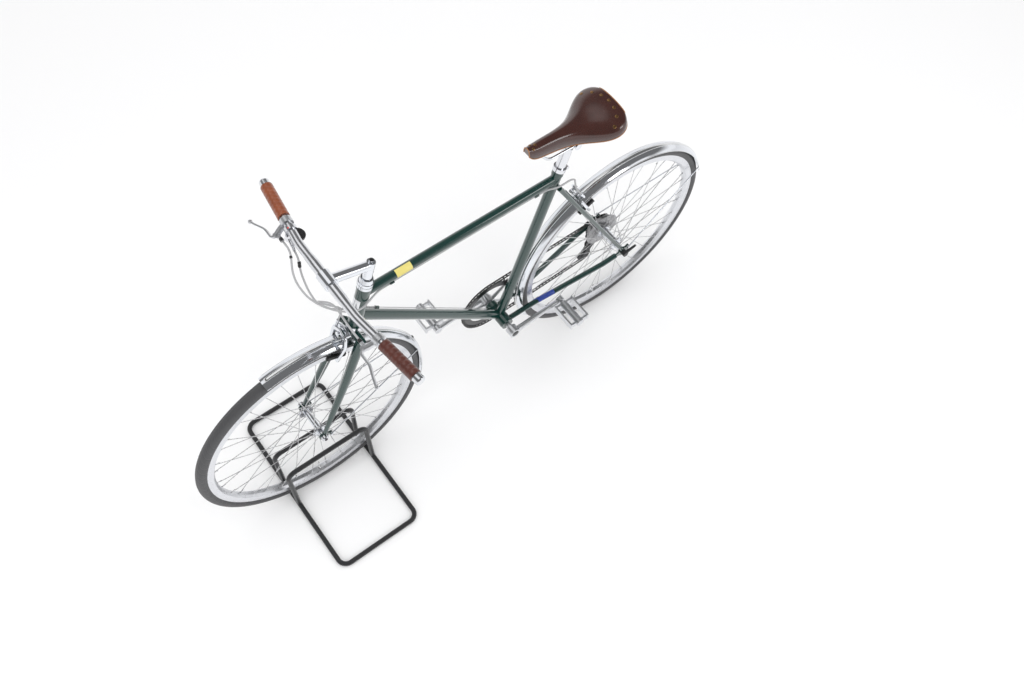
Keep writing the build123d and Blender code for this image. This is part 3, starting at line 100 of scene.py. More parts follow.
# where each panel is, and the cosines of the angles at which its light is full and at which it ends
LIT_PANELS = (
    ((0.12, -0.42, 0.90), 0.95, 0.90),
    ((-0.32, -0.90, 0.30), 0.97, 0.90),
    ((-0.60, 0.75, 0.28), 0.985, 0.95),
)


def studio_world(background=1.0, ambient=0.90):
    """White background and even ambient light; metal mirrors a pale horizon, a dim ceiling and lit panels."""
    world = bpy.data.worlds.new("studio")
    bpy.context.scene.world = world
    world.use_nodes = True
    tree = world.node_tree
    tree.nodes.clear()
    path = tree.nodes.new("ShaderNodeLightPath")
    place = tree.nodes.new("ShaderNodeTexCoord")
    part = tree.nodes.new("ShaderNodeSeparateXYZ")
    tree.links.new(place.outputs["Generated"], part.inputs["Vector"])
    room = mapped(tree, part.outputs["Z"], 0.10, 0.30, background, 0.17)
    for aim, inner, outer in LIT_PANELS:
        turned = tree.nodes.new("ShaderNodeVectorMath")
        turned.operation = "DOT_PRODUCT"
        turned.inputs[1].default_value = aim
        tree.links.new(place.outputs["Generated"], turned.inputs[0])
        panel = mapped(tree, turned.outputs["Value"], outer, inner, 0.0, background)
        room = maths(tree, "MAXIMUM", room, panel)
    mirrored = mapped(tree, path.outputs["Is Glossy Ray"], 0.0, 1.0, ambient, 1.0)
    tree.links.new(room, mirrored.node.inputs["To Max"])
    seen = maths(tree, "MAXIMUM", path.outputs["Is Camera Ray"], path.outputs["Is Transmission Ray"])
    level = mapped(tree, seen, 0.0, 1.0, ambient, background)
    tree.links.new(mirrored, level.node.inputs["To Min"])
    glow = tree.nodes.new("ShaderNodeBackground")
    glow.inputs["Color"].default_value = (1, 1, 1, 1)
    tree.links.new(level, glow.inputs["Strength"])
    out = tree.nodes.new("ShaderNodeOutputWorld")
    tree.links.new(glow.outputs[0], out.inputs["Surface"])


def softbox(name, place, aim, size, power, mirrored=False):
    """A rectangular lamp turned to its aim, seen in metal only if mirrored."""
    light = bpy.data.lights.new(name, "AREA")
    light.shape = "RECTANGLE"
    light.size, light.size_y = size
    light.energy = power
    lamp = bpy.data.objects.new(name, light)
    lamp.location = place
    lamp.rotation_euler = (Vector(aim) - Vector(place)).to_track_quat("-Z", "Y").to_euler()
    lamp.visible_glossy = mirrored
    bpy.context.scene.collection.objects.link(lamp)


def studio_floor():
    """White floor that keeps the shadow."""
    mesh = bpy.data.meshes.new("studio_floor")
    bm = bmesh.new()
    bmesh.ops.create_grid(bm, x_segments=1, y_segments=1, size=12.0)
    bmesh.ops.translate(bm, verts=bm.verts, vec=(0, 0, -0.0005))
    bm.to_mesh(mesh)
    bm.free()
    floor = bpy.data.objects.new("studio_floor", mesh)
    bpy.context.scene.collection.objects.link(floor)
    floor.data.materials.append(finish("floor_white", (0.93, 0.93, 0.935), roughness=0.9))


# ---------------------------------------------------------------- finishes
def finish(name, colour, metallic=0.0, roughness=0.5, coat=0.0, spread=0.0, grain=0.0, scale=200.0,
           shades=None):
    """Shader whose roughness and colour vary a little over the surface, with fine bumps if asked for."""
    material = bpy.data.materials.new(name)
    material.use_nodes = True
    tree = material.node_tree
    shader = tree.nodes["Principled BSDF"]
    shader.inputs["Base Color"].default_value = (*colour, 1)
    shader.inputs["Metallic"].default_value = metallic
    shader.inputs["Roughness"].default_value = roughness
    shader.inputs["Coat Weight"].default_value = coat
    shader.inputs["Coat Roughness"].default_value = 0.04
    place = tree.nodes.new("ShaderNodeTexCoord")
    noise = tree.nodes.new("ShaderNodeTexNoise")
    noise.inputs["Scale"].default_value = scale
    noise.inputs["Detail"].default_value = 4.0
    tree.links.new(place.outputs["Object"], noise.inputs["Vector"])
    if spread:
        smoothest, roughest = max(roughness - spread, 0.02), roughness + spread
        level = mapped(tree, noise.outputs["Fac"], 0.3, 0.7, smoothest, roughest)
        tree.links.new(level, shader.inputs["Roughness"])
    if shades:
        mix = tree.nodes.new("ShaderNodeMix")
        mix.data_type = "RGBA"
        mix.inputs["A"].default_value = (*shades[0], 1)
        mix.inputs["B"].default_value = (*shades[1], 1)
        broad = tree.nodes.new("ShaderNodeTexNoise")
        broad.inputs["Scale"].default_value = scale * 0.12
        tree.links.new(place.outputs["Object"], broad.inputs["Vector"])
        tree.links.new(broad.outputs["Fac"], mix.inputs["Factor"])
        tree.links.new(mix.outputs["Result"], shader.inputs["Base Color"])
    if grain:
        bump = tree.nodes.new("ShaderNodeBump")
        bump.inputs["Strength"].default_value = 0.5
        bump.inputs["Distance"].default_value = grain
        tree.links.new(noise.outputs["Fac"], bump.inputs["Height"])
        tree.links.new(bump.outputs["Normal"], shader.inputs["Normal"])
    return material


def dress(material, *names):
    """Gives CAD nodes a finish."""
    for name in names:
        NODES[name].data.materials.clear()
        NODES[name].data.materials.append(material)


def dress_cad_nodes():
    """Paint, metal, rubber and leather for every CAD node."""
    paint = finish("green_paint", (0.003, 0.030, 0.025), roughness=0.20, coat=1.0, spread=0.04, scale=900,
                   shades=((0.002, 0.024, 0.020), (0.004, 0.037, 0.031)))
    chrome = finish("chrome_plate", (0.80, 0.82, 0.86), metallic=1.0, roughness=0.12, spread=0.03, scale=60)
    alloy = finish("polished_alloy", (0.76, 0.77, 0.80), metallic=1.0, roughness=0.18, spread=0.06, scale=120)
    rim = finish("rim_alloy", (0.74, 0.75, 0.78), metallic=1.0, roughness=0.30, spread=0.05, scale=150)
    wire = finish("spoke_steel", (0.60, 0.60, 0.61), metallic=1.0, roughness=0.28, spread=0.05, scale=300)
    tyre = finish("tyre_rubber", (0.060, 0.060, 0.063), roughness=0.62, spread=0.08, grain=0.0003, scale=500)
    black = finish("black_plastic", (0.018, 0.018, 0.02), roughness=0.42, spread=0.06, grain=0.0001,
                   scale=900)
    pad = finish("pad_rubber", (0.02, 0.02, 0.02), roughness=0.6, spread=0.05, scale=400)
    ring = finish("black_enamel", (0.012, 0.012, 0.013), roughness=0.32, coat=0.4, spread=0.05, scale=300)
    steel = finish("oiled_steel", (0.020, 0.019, 0.019), metallic=0.5, roughness=0.36, spread=0.08, scale=300)
    housing = finish("cable_housing", (0.40, 0.40, 0.41), roughness=0.35, coat=0.3, spread=0.05, scale=500)
    stand = finish("stand_enamel", (0.02, 0.02, 0.022), roughness=0.42, coat=0.2, spread=0.07, scale=200)
    leather = finish("brown_leather", (0.040, 0.009, 0.006), roughness=0.24, coat=0.9, spread=0.05,
                     grain=0.00012, scale=260, shades=((0.026, 0.006, 0.004), (0.055, 0.013, 0.008)))
    dress(paint, "fork", "head_tube", "top_tube", "down_tube", "seat_tube", "bracket_shell", "chain_stays",
          "seat_stays")
    dress(chrome, "headset_top", "stem", "front_brake", "front_mudguard", "headset_cups",
          "saddle_rails", "rear_brake", "rear_mudguard", "front_hub", "rear_hub")
    satin = finish("satin_alloy", (0.70, 0.71, 0.73), metallic=1.0, roughness=0.36, spread=0.06, scale=220)
    dress(alloy, "handlebar", "gear_shifter", "front_axle", "seat_post")
    dress(satin, "cranks", "left_pedal", "right_pedal", "brake_levers")
    dress(rim, "front_rim", "rear_rim")
    dress(wire, "front_spokes", "rear_spokes")
    dress(tyre, "front_tyre", "rear_tyre")
    dress(black, "rear_derailleur", "rear_axle")
    dress(pad, "front_brake_pads", "rear_brake_pads")
    dress(ring, "chainring")
    cog = finish("cog_steel", (0.42, 0.42, 0.43), metallic=1.0, roughness=0.30, spread=0.08, scale=300)
    dress(steel, "chain")
    dress(cog, "cassette")
    dress(housing, "front_brake_cable", "handlebar_cables", "frame_cables")
    dress(stand, "wheel_stand")
    dress(leather, "handlebar_grips", "saddle")


# ---------------------------------------------------------------- shapes
AXLES = {name: (Vector(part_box(name)[0]) + Vector(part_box(name)[1])) * 0.5
         for name in ("front_rim", "rear_rim")}
FORK_RAKE = 0.052
BAR_HEIGHT, BAR_REACH = 0.603, 0.116
BAR_STRAIGHT, BAR_SWEEP = 0.120, radians(8)
HEAD_ANGLE = radians(71.5)
UP_STEERER = Vector((-cos(HEAD_ANGLE), 0, sin(HEAD_ANGLE)))
AHEAD_OF_STEERER = Vector((sin(HEAD_ANGLE), 0, cos(HEAD_ANGLE)))
STEER_FOOT = AXLES["front_rim"] - AHEAD_OF_STEERER * FORK_RAKE
LEFT = Vector((0, 1, 0))


def steer(up, ahead=0.0, left=0.0):
    """A point along the steering axis, ahead of it and to the left."""
    return STEER_FOOT + UP_STEERER * up + AHEAD_OF_STEERER * ahead + LEFT * left


def bar_point(left, ahead=0.0, up=0.0):
    """A point by the swept handlebar's centre line."""
    back = max(abs(left) - BAR_STRAIGHT, 0.0) * sin(BAR_SWEEP) / cos(BAR_SWEEP)
    return steer(BAR_HEIGHT + up, BAR_REACH - back + ahead, left)


def made(name, bm, material, body, smooth=True, bevel=0.0):
    """Turns a bmesh into a piece that rides on a body, if one is named."""
    bmesh.ops.recalc_face_normals(bm, faces=bm.faces)
    mesh = bpy.data.meshes.new(name)
    bm.to_mesh(mesh)
    bm.free()
    for face in mesh.polygons:
        face.use_smooth = smooth
    piece = bpy.data.objects.new(name, mesh)
    bpy.context.scene.collection.objects.link(piece)
    mesh.materials.append(material)
    if bevel:
        rounded = piece.modifiers.new("rounded", "BEVEL")
        rounded.width = bevel
        rounded.segments = 2
    if body:
        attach(piece, body)
    return piece


def frame_along(origin, way, side=None):
    """Matrix whose Z axis points along way."""
    z = Vector(way).normalized()
    if side:
        x = Vector(side)
    else:
        x = (Vector((0, 0, 1)) if abs(z.z) < 0.95 else LEFT).cross(z)
    x = (x - z * x.dot(z)).normalized()
    y = z.cross(x)
    return Matrix((
        (x.x, y.x, z.x, origin[0]),
        (x.y, y.y, z.y, origin[1]),
        (x.z, y.z, z.z, origin[2]),
        (0, 0, 0, 1),
    ))


def add_lathe(bm, profile, place, steps=32):
    """A closed profile of (radius, height), spun about the Z axis of place."""
    verts = [bm.verts.new((r, 0, h)) for r, h in profile]
    edges = [bm.edges.new(pair) for pair in zip(verts, verts[1:] + verts[:1])]
    bmesh.ops.spin(bm, geom=verts + edges, cent=(0, 0, 0), axis=(0, 0, 1), angle=2 * pi, steps=steps,
                   use_merge=True)
    turned = {v for f in bm.faces if not f.tag for v in f.verts}
    bmesh.ops.remove_doubles(bm, verts=list(turned), dist=1e-7)
    fresh = [f for f in bm.faces if not f.tag]
    bmesh.ops.transform(bm, matrix=place, verts=list({v for f in fresh for v in f.verts}))
    for face in fresh:
        face.tag = True


def add_dome(bm, origin, way, radius, height, segments=16):
    """A flattened round head, such as a rivet or a bolt's cap."""
    profile = [(0.0, 0.0)]
    profile += [(radius * cos(k * pi / 12), height * sin(k * pi / 12)) for k in range(6)]
    profile.append((0.0, height))
    add_lathe(bm, profile, frame_along(origin, way), segments)


def add_prism(bm, origin, way, radius, height, sides=6):
    """A bolt head or nut."""
    new = bmesh.ops.create_cone(bm, cap_ends=True, segments=sides, radius1=radius, radius2=radius,
                                depth=height)
    place = frame_along(Vector(origin) + Vector(way).normalized() * height / 2, way)
    bmesh.ops.transform(bm, matrix=place, verts=new["verts"])
    for face in {f for v in new["verts"] for f in v.link_faces}:
        face.tag = True


def add_block(bm, centre, size, place):
    """A box, turned as place is."""
    new = bmesh.ops.create_cube(bm, size=1.0)
    bmesh.ops.scale(bm, vec=size, verts=new["verts"])
    matrix = place.copy()
    matrix.translation = Vector(centre)
    bmesh.ops.transform(bm, matrix=matrix, verts=new["verts"])
    for face in {f for v in new["verts"] for f in v.link_faces}:
        face.tag = True


# ---------------------------------------------------------------- wheels
TREAD_CUTS, TREAD_LEAN = 96, 3.4


def tread_rubber(axle, ribs):
    """Tyre rubber with shallow slanted cuts round the tread."""
    material = finish("tread_rubber_" + ribs, (0.062, 0.062, 0.065), roughness=0.50, spread=0.08,
                      grain=0.0002, scale=600)
    tree = material.node_tree
    place = tree.nodes.new("ShaderNodeTexCoord")
    move = tree.nodes.new("ShaderNodeMapping")
    move.inputs["Location"].default_value = (-axle.x, 0, -axle.z)
    tree.links.new(place.outputs["Object"], move.inputs["Vector"])
    part = tree.nodes.new("ShaderNodeSeparateXYZ")
    tree.links.new(move.outputs["Vector"], part.inputs["Vector"])
    angle = maths(tree, "ARCTAN2", part.outputs["Z"], part.outputs["X"])
    off_centre = maths(tree, "ABSOLUTE", part.outputs["Y"])
    leaned = maths(tree, "MULTIPLY_ADD", off_centre, TREAD_LEAN, angle)
    repeated = maths(tree, "MULTIPLY", leaned, TREAD_CUTS / (2 * pi))
    cut = maths(tree, "PINGPONG", repeated, 0.5)
    edge = mapped(tree, cut, 0.05, 0.12, 0.0, 1.0)
    bump = tree.nodes.new("ShaderNodeBump")
    bump.inputs["Strength"].default_value = 0.7
    bump.inputs["Distance"].default_value = 0.0006
    tree.links.new(edge, bump.inputs["Height"])
    tree.links.new(bump.outputs["Normal"], tree.nodes["Principled BSDF"].inputs["Normal"])
    return material


def tyre(side, wheel):
    """Round tyre with grooved shoulders and a raised bead line."""
    centre, radius, seat = 0.327, 0.016, 0.3171
    first = -pi / 2 - 0.66
    profile = []
    for k in range(49):
        turn = first + k * (-2 * first) / 48
        groove = 0.0007 if k in (19, 20, 28, 29) else 0.0
        bead = 0.0005 if k in (6, 42) else 0.0
        reach = radius - groove + bead
        profile.append((centre + reach * cos(turn), reach * sin(turn)))
    profile = [p for p in profile if p[0] > seat]
    bm = bmesh.new()
    add_lathe(bm, profile, frame_along(AXLES[side], (0, 1, 0), (1, 0, 0)), 160)
    piece = made(side.split("_")[0] + "_tyre_tread", bm, tread_rubber(AXLES[side], side), wheel)
    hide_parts(wheel.replace("wheel", "tyre"))


SPOKES, VALVE_AFTER = 36, 27.5
RIM_INNER = 0.2928


def nipples(side, wheel, metal):
    """A nipple at the rim for each spoke, and the valve stem with its cap."""
    bm = bmesh.new()
    axle = AXLES[side]
    profile = [(0.0, -0.013), (0.0016, -0.013), (0.0017, -0.003), (0.0028, -0.001), (0.0028, 0.0), (0.0, 0.0)]
    for number in range(SPOKES):
        a = number * 2 * pi / SPOKES
        out = Vector((cos(a), 0, sin(a)))
        left = 0.0035 if number % 2 == 0 else -0.0035
        base = axle + out * RIM_INNER + LEFT * left
        add_lathe(bm, profile, frame_along(base, out), 10)
    a = VALVE_AFTER * 2 * pi / SPOKES
    out = Vector((cos(a), 0, sin(a)))
    profile = [(0.0, -0.034), (0.0018, -0.034), (0.0022, -0.026), (0.0031, -0.025), (0.0031, -0.014),
               (0.0027, -0.012), (0.0030, -0.010), (0.0030, -0.001), (0.0055, -0.0008), (0.0055, 0.0),
               (0.0, 0.0)]
    add_lathe(bm, profile, frame_along(axle + out * RIM_INNER, out), 18)
    made(wheel + "_nipples", bm, metal, wheel)


# ---------------------------------------------------------------- saddle and grips
def surface_of(node):
    """The CAD node's surface, to set small pieces on."""
    mesh = NODES[node].data
    return BVHTree.FromPolygons([v.co for v in mesh.vertices], [p.vertices for p in mesh.polygons])


def saddle_rivets(brass):
    """Brass rivets round the nose and the broad rear of the leather."""
    low, high = (Vector(v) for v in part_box("saddle"))
    skin = surface_of("saddle")
    bm = bmesh.new()
    middle = (low.x + high.x) / 2
    spots = [(high.x - 0.014, y) for y in (-0.0075, 0.0075)]
    spots += [(high.x - 0.024, 0.0)]
    spots += [(low.x + 0.012 + 0.014 * (y / 0.047) ** 2, y) for y in (-0.047, -0.024, 0.0, 0.024, 0.047)]
    spots += [(low.x + 0.045, y) for y in (-0.064, 0.064)]
    for x, y in spots:
        hit, normal, _, _ = skin.ray_cast(Vector((x, y, high.z + 0.05)), Vector((0, 0, -1)))
        if hit is None:
            continue
        if normal.z < 0:
            normal = -normal
        radius = 0.0048 if x < middle else 0.0040
        add_dome(bm, hit - normal * 0.0004, normal, radius, 0.0016, 20)
    made("saddle_rivets", bm, brass, "frame")


WELT_RADIUS = 0.0013


def saddle_welt(tan):
    """Raw edge of the leather, along the saddle's lower rim."""
    shell = bmesh.new()
    shell.from_mesh(NODES["saddle"].data)
    bmesh.ops.remove_doubles(shell, verts=shell.verts, dist=1e-6)
    rim = [e for e in shell.edges if len(e.link_faces) == 2 and e.calc_face_angle(0) > radians(42)]
    bm = bmesh.new()
    for edge in rim:
        a, b = (v.co.copy() for v in edge.verts)
        if (b - a).length < 1e-5:
            continue
        new = bmesh.ops.create_cone(bm, cap_ends=True, segments=8, radius1=WELT_RADIUS, radius2=WELT_RADIUS,
                                    depth=(b - a).length + 0.0006)
        bmesh.ops.transform(bm, matrix=frame_along((a + b) / 2, b - a), verts=new["verts"])
    shell.free()
    made("saddle_welt", bm, tan, "frame")


GRIP_INNER, GRIP_OUTER, GRIP_RINGS = 0.2055, 0.3095, 8


def grip(side, leather, seam, stands_for=False):
    """Leather rings pressed together over the bar, parted by shallow seams."""
    inner, outer, radius = GRIP_INNER, GRIP_OUTER, 0.0152
    width = (outer - inner) / GRIP_RINGS
    profile = [(0.0114, 0.0)]
    for k in range(GRIP_RINGS):
        start = k * width
        profile += [(radius - seam, start), (radius, start + 0.0006), (radius + 0.00012, start + width / 2),
                    (radius, start + width - 0.0006)]
    profile += [(radius - seam, outer - inner), (0.0114, outer - inner)]
    bm = bmesh.new()
    base = bar_point(side * inner)
    add_lathe(bm, profile, frame_along(base, bar_point(side * outer) - base), 40)
    name = ("left" if side > 0 else "right") + "_grip_leather"
    piece = made(name, bm, leather, "front_end")
    if stands_for:
        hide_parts("handlebar_grips")


# ---------------------------------------------------------------- small parts
def shifter_paddle(black):
    """Ribbed rubber cover over the half round thumb paddle."""
    bm = bmesh.new()
    centre = bar_point(-0.1545, -0.013, -0.0095)
    place = frame_along(centre, UP_STEERER, (0, 1, 0))
    bmesh.ops.create_cone(bm, cap_ends=True, segments=56, radius1=0.0196, radius2=0.0196, depth=0.0062)
    cut = bmesh.ops.bisect_plane(bm, geom=bm.verts[:] + bm.edges[:] + bm.faces[:], plane_co=(0, 0, 0),
                                 plane_no=(0, -1, 0), clear_outer=True)
    rim = [e for e in cut["geom_cut"] if isinstance(e, bmesh.types.BMEdge)]
    bmesh.ops.holes_fill(bm, edges=rim, sides=0)
    bmesh.ops.transform(bm, matrix=place, verts=bm.verts)
    for face in bm.faces:
        face.tag = True
    for number in range(-4, 5):
        reach = 0.017 * cos(number * 0.27)
        spot = place @ Vector((number * 0.0038, reach * 0.52, 0.0034))
        add_block(bm, spot, (0.0014, reach, 0.0009), place)
    made("shifter_paddle_cover", bm, black, "front_end", smooth=False, bevel=0.0003)


def adjusters(black):
    """Knurled black barrels where the housings meet the levers and the shifter."""
    bm = bmesh.new()
    drop = radians(45)
    ridges = 5
    for side in (-1, 1):
        start, end = (bar_point(side * left, out * cos(drop), -out * sin(drop))
                      for left, out in ((0.1675, 0.0319), (0.1586, 0.03078)))
        profile = [(0.0026, 0.0)]
        step = (end - start).length / ridges
        for k in range(ridges):
            profile += [(0.0047, k * step), (0.0050, (k + 0.5) * step)]
        profile += [(0.0043, ridges * step), (0.0026, ridges * step)]
        add_lathe(bm, profile, frame_along(start, end - start), 24)
    made("cable_adjusters", bm, black, "front_end")


# radii about the axle, and half the width, of the mudguards
GUARD_CROWN, GUARD_EDGE, GUARD_HALF = 0.3509, 0.34024, 0.0211
BEAD_RADIUS = 0.0011
GUARD_RIB = ((-0.0008, -0.0062), (0.0006, -0.0042), (0.0011, -0.0018), (0.0011, 0.0018), (0.0006, 0.0042),
             (-0.0008, 0.0062))


def guard_trim(chrome, dark):
    """Rolled edges and a raised rib along both mudguards, and the bolt that fixes the front one."""
    for node, body, wheel, first, last in (("front_mudguard", "front_end", "front_rim", 76.5, 192.5),
                                           ("rear_mudguard", "frame", "rear_rim", -20.5, 163.5)):
        bm = bmesh.new()
        rib = [(GUARD_CROWN + up, left) for up, left in GUARD_RIB]
        ring = [(BEAD_RADIUS * cos(k * pi / 4), BEAD_RADIUS * sin(k * pi / 4)) for k in range(8)]
        beads = [[(GUARD_EDGE + up, side * GUARD_HALF + left) for up, left in ring] for side in (-1, 1)]
        for section in [rib] + beads:
            loop = [bm.verts.new((reach, left, 0)) for reach, left in section]
            edges = [bm.edges.new(pair) for pair in zip(loop, loop[1:] + loop[:1])]
            bmesh.ops.rotate(bm, cent=(0, 0, 0), matrix=Matrix.Rotation(-radians(first), 3, "Y"), verts=loop)
            bmesh.ops.spin(bm, geom=loop + edges, cent=(0, 0, 0), axis=(0, -1, 0),
                           angle=radians(last - first), steps=90)
        bmesh.ops.holes_fill(bm, edges=[e for e in bm.edges if len(e.link_faces) == 1], sides=0)
        bmesh.ops.translate(bm, verts=bm.verts, vec=AXLES[wheel])
        made(node + "_trim", bm, chrome, body)
    bm = bmesh.new()
    way = Vector((cos(radians(160)), 0, sin(radians(160))))
    add_dome(bm, AXLES["front_rim"] + way * 0.3516, way, 0.0048, 0.0028, 20)
    made("front_guard_bolt", bm, dark, "front_end")


def sleeve(bm, node, near, length, radius):
    """A short barrel round the cable that passes near a point."""
    near = Vector(near)
    close = [v.co for v in NODES[node].data.vertices if (v.co - near).length < 0.008]
    middle = sum(close, Vector()) / len(close)
    spread = Matrix.Diagonal((0, 0, 0))
    for point in close:
        d = point - middle
        spread += Matrix([[d[i] * d[j] for j in range(3)] for i in range(3)])
    way = Vector((0.3, 0.5, -0.8))
    for _ in range(20):
        way = (spread @ way).normalized()
    bore, ends, waist = 0.0022, radius * 0.82, radius * 0.86
    profile = [(bore, 0.0), (ends, 0.0), (radius, length * 0.12), (radius, length * 0.45),
               (waist, length * 0.5), (radius, length * 0.55), (radius, length * 0.88), (ends, length),
               (bore, length)]
    add_lathe(bm, profile, frame_along(middle - way * length / 2, way), 20)


def flexing_cables():
    """Housings from the bar to the frame, copied from the CAD node as one piece that rides on no body."""
    bm = bmesh.new()
    bm.from_mesh(NODES["handlebar_cables"].data)
    bmesh.ops.remove_doubles(bm, verts=bm.verts, dist=1e-6)
    piece = made("handlebar_housings", bm, NODES["handlebar_cables"].data.materials[0], None)
    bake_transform(piece)
    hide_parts("handlebar_cables")


def cable_sleeves(black):
    """Barrels that join the two lengths of housing under the bar."""
    bm = bmesh.new()
    sleeve(bm, "handlebar_cables", (0.4055, -0.093, 0.899), 0.015, 0.0042)
    sleeve(bm, "handlebar_cables", (0.419, -0.111, 0.915), 0.006, 0.0036)
    made("cable_sleeves", bm, black, "front_end")


def shifter_dot(red):
    """Small round marker on the shifter's pod."""
    bm = bmesh.new()
    spot = bar_point(-0.1645, 0.006)
    hit, normal, _, _ = surface_of("gear_shifter").ray_cast(spot + Vector((0, 0, 0.05)), Vector((0, 0, -1)))
    add_dome(bm, hit - normal * 0.0002, normal, 0.0024, 0.0007, 18)
    made("shifter_dot", bm, red, "front_end")


PLATE_HEIGHT = 0.0086


def chain_pins(steel):
    """Pin ends on both sides of the chain, each midway between two corners a plate's height apart."""
    mesh = NODES["chain"].data
    low, high = (Vector(v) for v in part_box("chain"))
    spots = []
    corners = [v.co.copy() for v in mesh.vertices if abs(v.co.y - low.y) < 1e-5]
    tree = KDTree(len(corners))
    for number, corner in enumerate(corners):
        tree.insert(corner, number)
    tree.balance()
    for corner in corners:
        for other, _, distance in tree.find_range(corner, PLATE_HEIGHT + 0.00005):
            if abs(distance - PLATE_HEIGHT) < 0.00002:
                centre = (corner + other) / 2
                if not any((centre - spot).length < 0.003 for spot in spots):
                    spots.append(centre)
    ends = bmesh.new()
    for spot in spots:
        for y, way in ((low.y, -1), (high.y, 1)):
            add_dome(ends, (spot.x, y - way * 0.0001, spot.z), (0, way, 0), 0.0019, 0.0005, 12)
    made("chain_pins", ends, steel, "frame")


def bolts(dark, chrome):
    """Bolts and nuts that hold the parts together."""
    bm = bmesh.new()
    add_dome(bm, steer(0.6205), UP_STEERER, 0.0062, 0.0015, 24)
    for side in (-1, 1):
        end = AXLES["front_rim"] + LEFT * side * 0.0669
        add_dome(bm, end, LEFT * side, 0.0049, 0.0015, 20)
    made("front_bolts", bm, dark, "front_end")
    bm = bmesh.new()
    add_prism(bm, steer(0.590, 0.100), AHEAD_OF_STEERER * 0.4 - UP_STEERER, 0.0050, 0.006, 6)
    made("stem_clamp_bolt", bm, chrome, "front_end", bevel=0.0004)


def crank_caps(black, chrome):
    """Dust caps over the crank bolts and the chainring's five bolts."""
    box_low, box_high = (Vector(v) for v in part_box("bracket_shell"))
    centre = (box_low + box_high) / 2
    caps = bmesh.new()
    for side in (-1, 1):
        add_dome(caps, centre + LEFT * side * 0.0799, LEFT * side, 0.0115, 0.0022, 32)
    made("crank_caps", caps, black, "cranks")
    heads = bmesh.new()
    for number in range(5):
        a = radians(number * 72)
        place = centre + Vector((0.0765 * cos(a), -0.0525, 0.0765 * sin(a)))
        profile = [(0.0016, 0.0), (0.0048, 0.0), (0.0048, 0.0028), (0.0042, 0.0033), (0.0022, 0.0033),
                   (0.0016, 0.0022)]
        add_lathe(heads, profile, frame_along(place, (0, -1, 0)), 20)
    made("chainring_bolts", heads, chrome, "cranks")


def tube_band(name, start, end, radius, material, body, first=0.0, last=2 * pi):
    """A thin sleeve or patch on a tube, between two angles round it."""
    way = end - start
    place = frame_along(start, way, (0, 1, 0))
    thin, thick, lip = 0.00005, 0.00015, 0.0002
    profile = ((thin, 0), (thick, lip), (thick, way.length - lip), (thin, way.length))
    bm = bmesh.new()
    verts = [bm.verts.new((radius + r, 0, h)) for r, h in profile]
    edges = [bm.edges.new(pair) for pair in zip(verts, verts[1:])]
    bmesh.ops.rotate(bm, cent=(0, 0, 0), matrix=Matrix.Rotation(first, 3, "Z"), verts=verts)
    whole = last - first >= 2 * pi
    bmesh.ops.spin(bm, geom=verts + edges, cent=(0, 0, 0), axis=(0, 0, 1), angle=last - first, steps=28,
                   use_merge=whole)
    bmesh.ops.transform(bm, matrix=place, verts=bm.verts)
    return made(name, bm, material, body)


def decals():
    """Blank bands and patches of colour on the frame's tubes, and a silver band round the head tube that is a
    painted reflection.
    """
    yellow = finish("sticker_yellow", (0.72, 0.62, 0.18), roughness=0.35, coat=0.3, spread=0.05, scale=300)
    blue = finish("band_blue", (0.02, 0.05, 0.28), roughness=0.3, coat=0.5, spread=0.05, scale=300)
    pale = finish("band_pale", (0.55, 0.56, 0.58), roughness=0.3, coat=0.4, spread=0.05, scale=300)
    low, high = (Vector(v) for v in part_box("top_tube"))
    radius = 0.0127
    height = high.z - radius
    centre = (Vector(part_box("bracket_shell")[0]) + Vector(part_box("bracket_shell")[1])) / 2
    near = centre + Vector((-0.110, 0.032, 0.010))
    far = AXLES["rear_rim"] + Vector((0.070, 0.0635, -0.014))
    tube_band("chain_stay_band", near.lerp(far, -0.02), near.lerp(far, 0.27), 0.008, blue, "frame")
    # Silver band round the front of the head tube: a painted reflection of the studio light on the glossy
    # paint.
    silver = finish("painted_reflection_silver", (0.75, 0.76, 0.78), metallic=1.0, roughness=0.18, spread=0.05, scale=300)
    tube_band("head_tube_painted_reflection", steer(0.462), steer(0.492), 0.018, silver, "frame", radians(-138), radians(-42))
    start, end = (Vector((high.x - back, 0, height)) for back in (0.123, 0.078))
    tube_band("top_tube_sticker", start, end, radius, yellow, "frame", radians(-5), radians(100))
    start, end = (Vector((low.x + ahead, 0, height)) for ahead in (0.098, 0.136))
    tube_band("top_tube_patch", start, end, radius, pale, "frame", radians(-42), radians(-12))


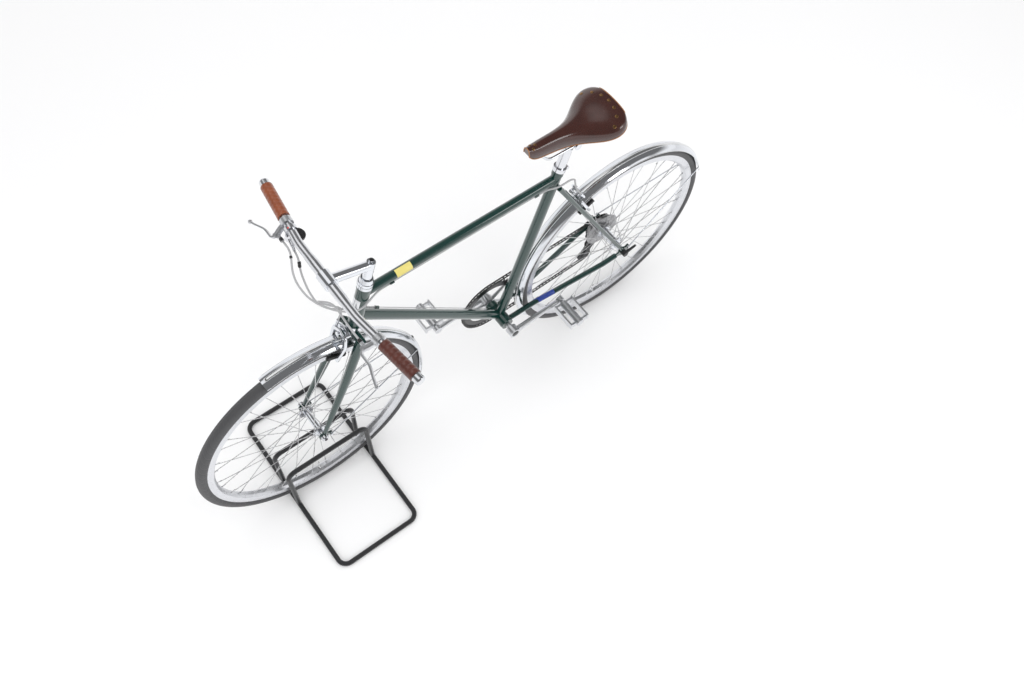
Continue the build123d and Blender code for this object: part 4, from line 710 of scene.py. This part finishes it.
aim_camera()
studio_world()
softbox("overhead", (0.3, 0.4, 3.4), (0, 0, 0.4), (3.2, 3.2), 34)
softbox("key", (-1.6, 2.6, 2.4), (0, 0, 0.5), (0.9, 0.9), 10, mirrored=True)
softbox("side_fill", (2.6, 2.4, 1.9), (0, 0, 0.5), (2.0, 1.6), 12)
studio_floor()
dress_cad_nodes()

BRASS = finish("aged_brass", (0.30, 0.17, 0.075), metallic=1.0, roughness=0.3, spread=0.08, scale=300)
TAN = finish("tan_leather_edge", (0.36, 0.17, 0.075), roughness=0.6, spread=0.08, grain=0.0002, scale=500)
BRIGHT = finish("bright_steel", (0.78, 0.79, 0.80), metallic=1.0, roughness=0.16, spread=0.04, scale=200)
DARK = finish("black_oxide", (0.03, 0.03, 0.032), metallic=0.6, roughness=0.4, spread=0.06, scale=400)
RED_DOT = finish("red_marker", (0.55, 0.02, 0.02), roughness=0.35, coat=0.5, spread=0.05, scale=400)
BLACK = finish("black_cap", (0.015, 0.015, 0.016), roughness=0.35, coat=0.3, spread=0.05, scale=500)
RED_LEATHER = finish("red_brown_leather", (0.085, 0.023, 0.016), roughness=0.34, coat=0.35, spread=0.08,
                     grain=0.0003, scale=420, shades=((0.060, 0.015, 0.011), (0.115, 0.032, 0.022)))
WARM_LEATHER = finish("warm_brown_leather", (0.22, 0.055, 0.020), roughness=0.32, coat=0.35, spread=0.08,
                      grain=0.0003, scale=420, shades=((0.17, 0.040, 0.014), (0.30, 0.080, 0.030)))

for rim_name, wheel_name in (("front_rim", "front_wheel"), ("rear_rim", "rear_wheel")):
    tyre(rim_name, wheel_name)
    nipples(rim_name, wheel_name, BRIGHT)
saddle_rivets(BRASS)
saddle_welt(TAN)
grip(1, RED_LEATHER, 0.0005, stands_for=True)
grip(-1, WARM_LEATHER, 0.00015)
chain_pins(DARK)
bolts(DARK, BRIGHT)
crank_caps(BLACK, BRIGHT)
shifter_paddle(BLACK)
adjusters(BLACK)
guard_trim(BRIGHT, BLACK)
flexing_cables()
cable_sleeves(BLACK)
shifter_dot(RED_DOT)
decals()
bpy.context.scene.view_settings.view_transform = "Standard"
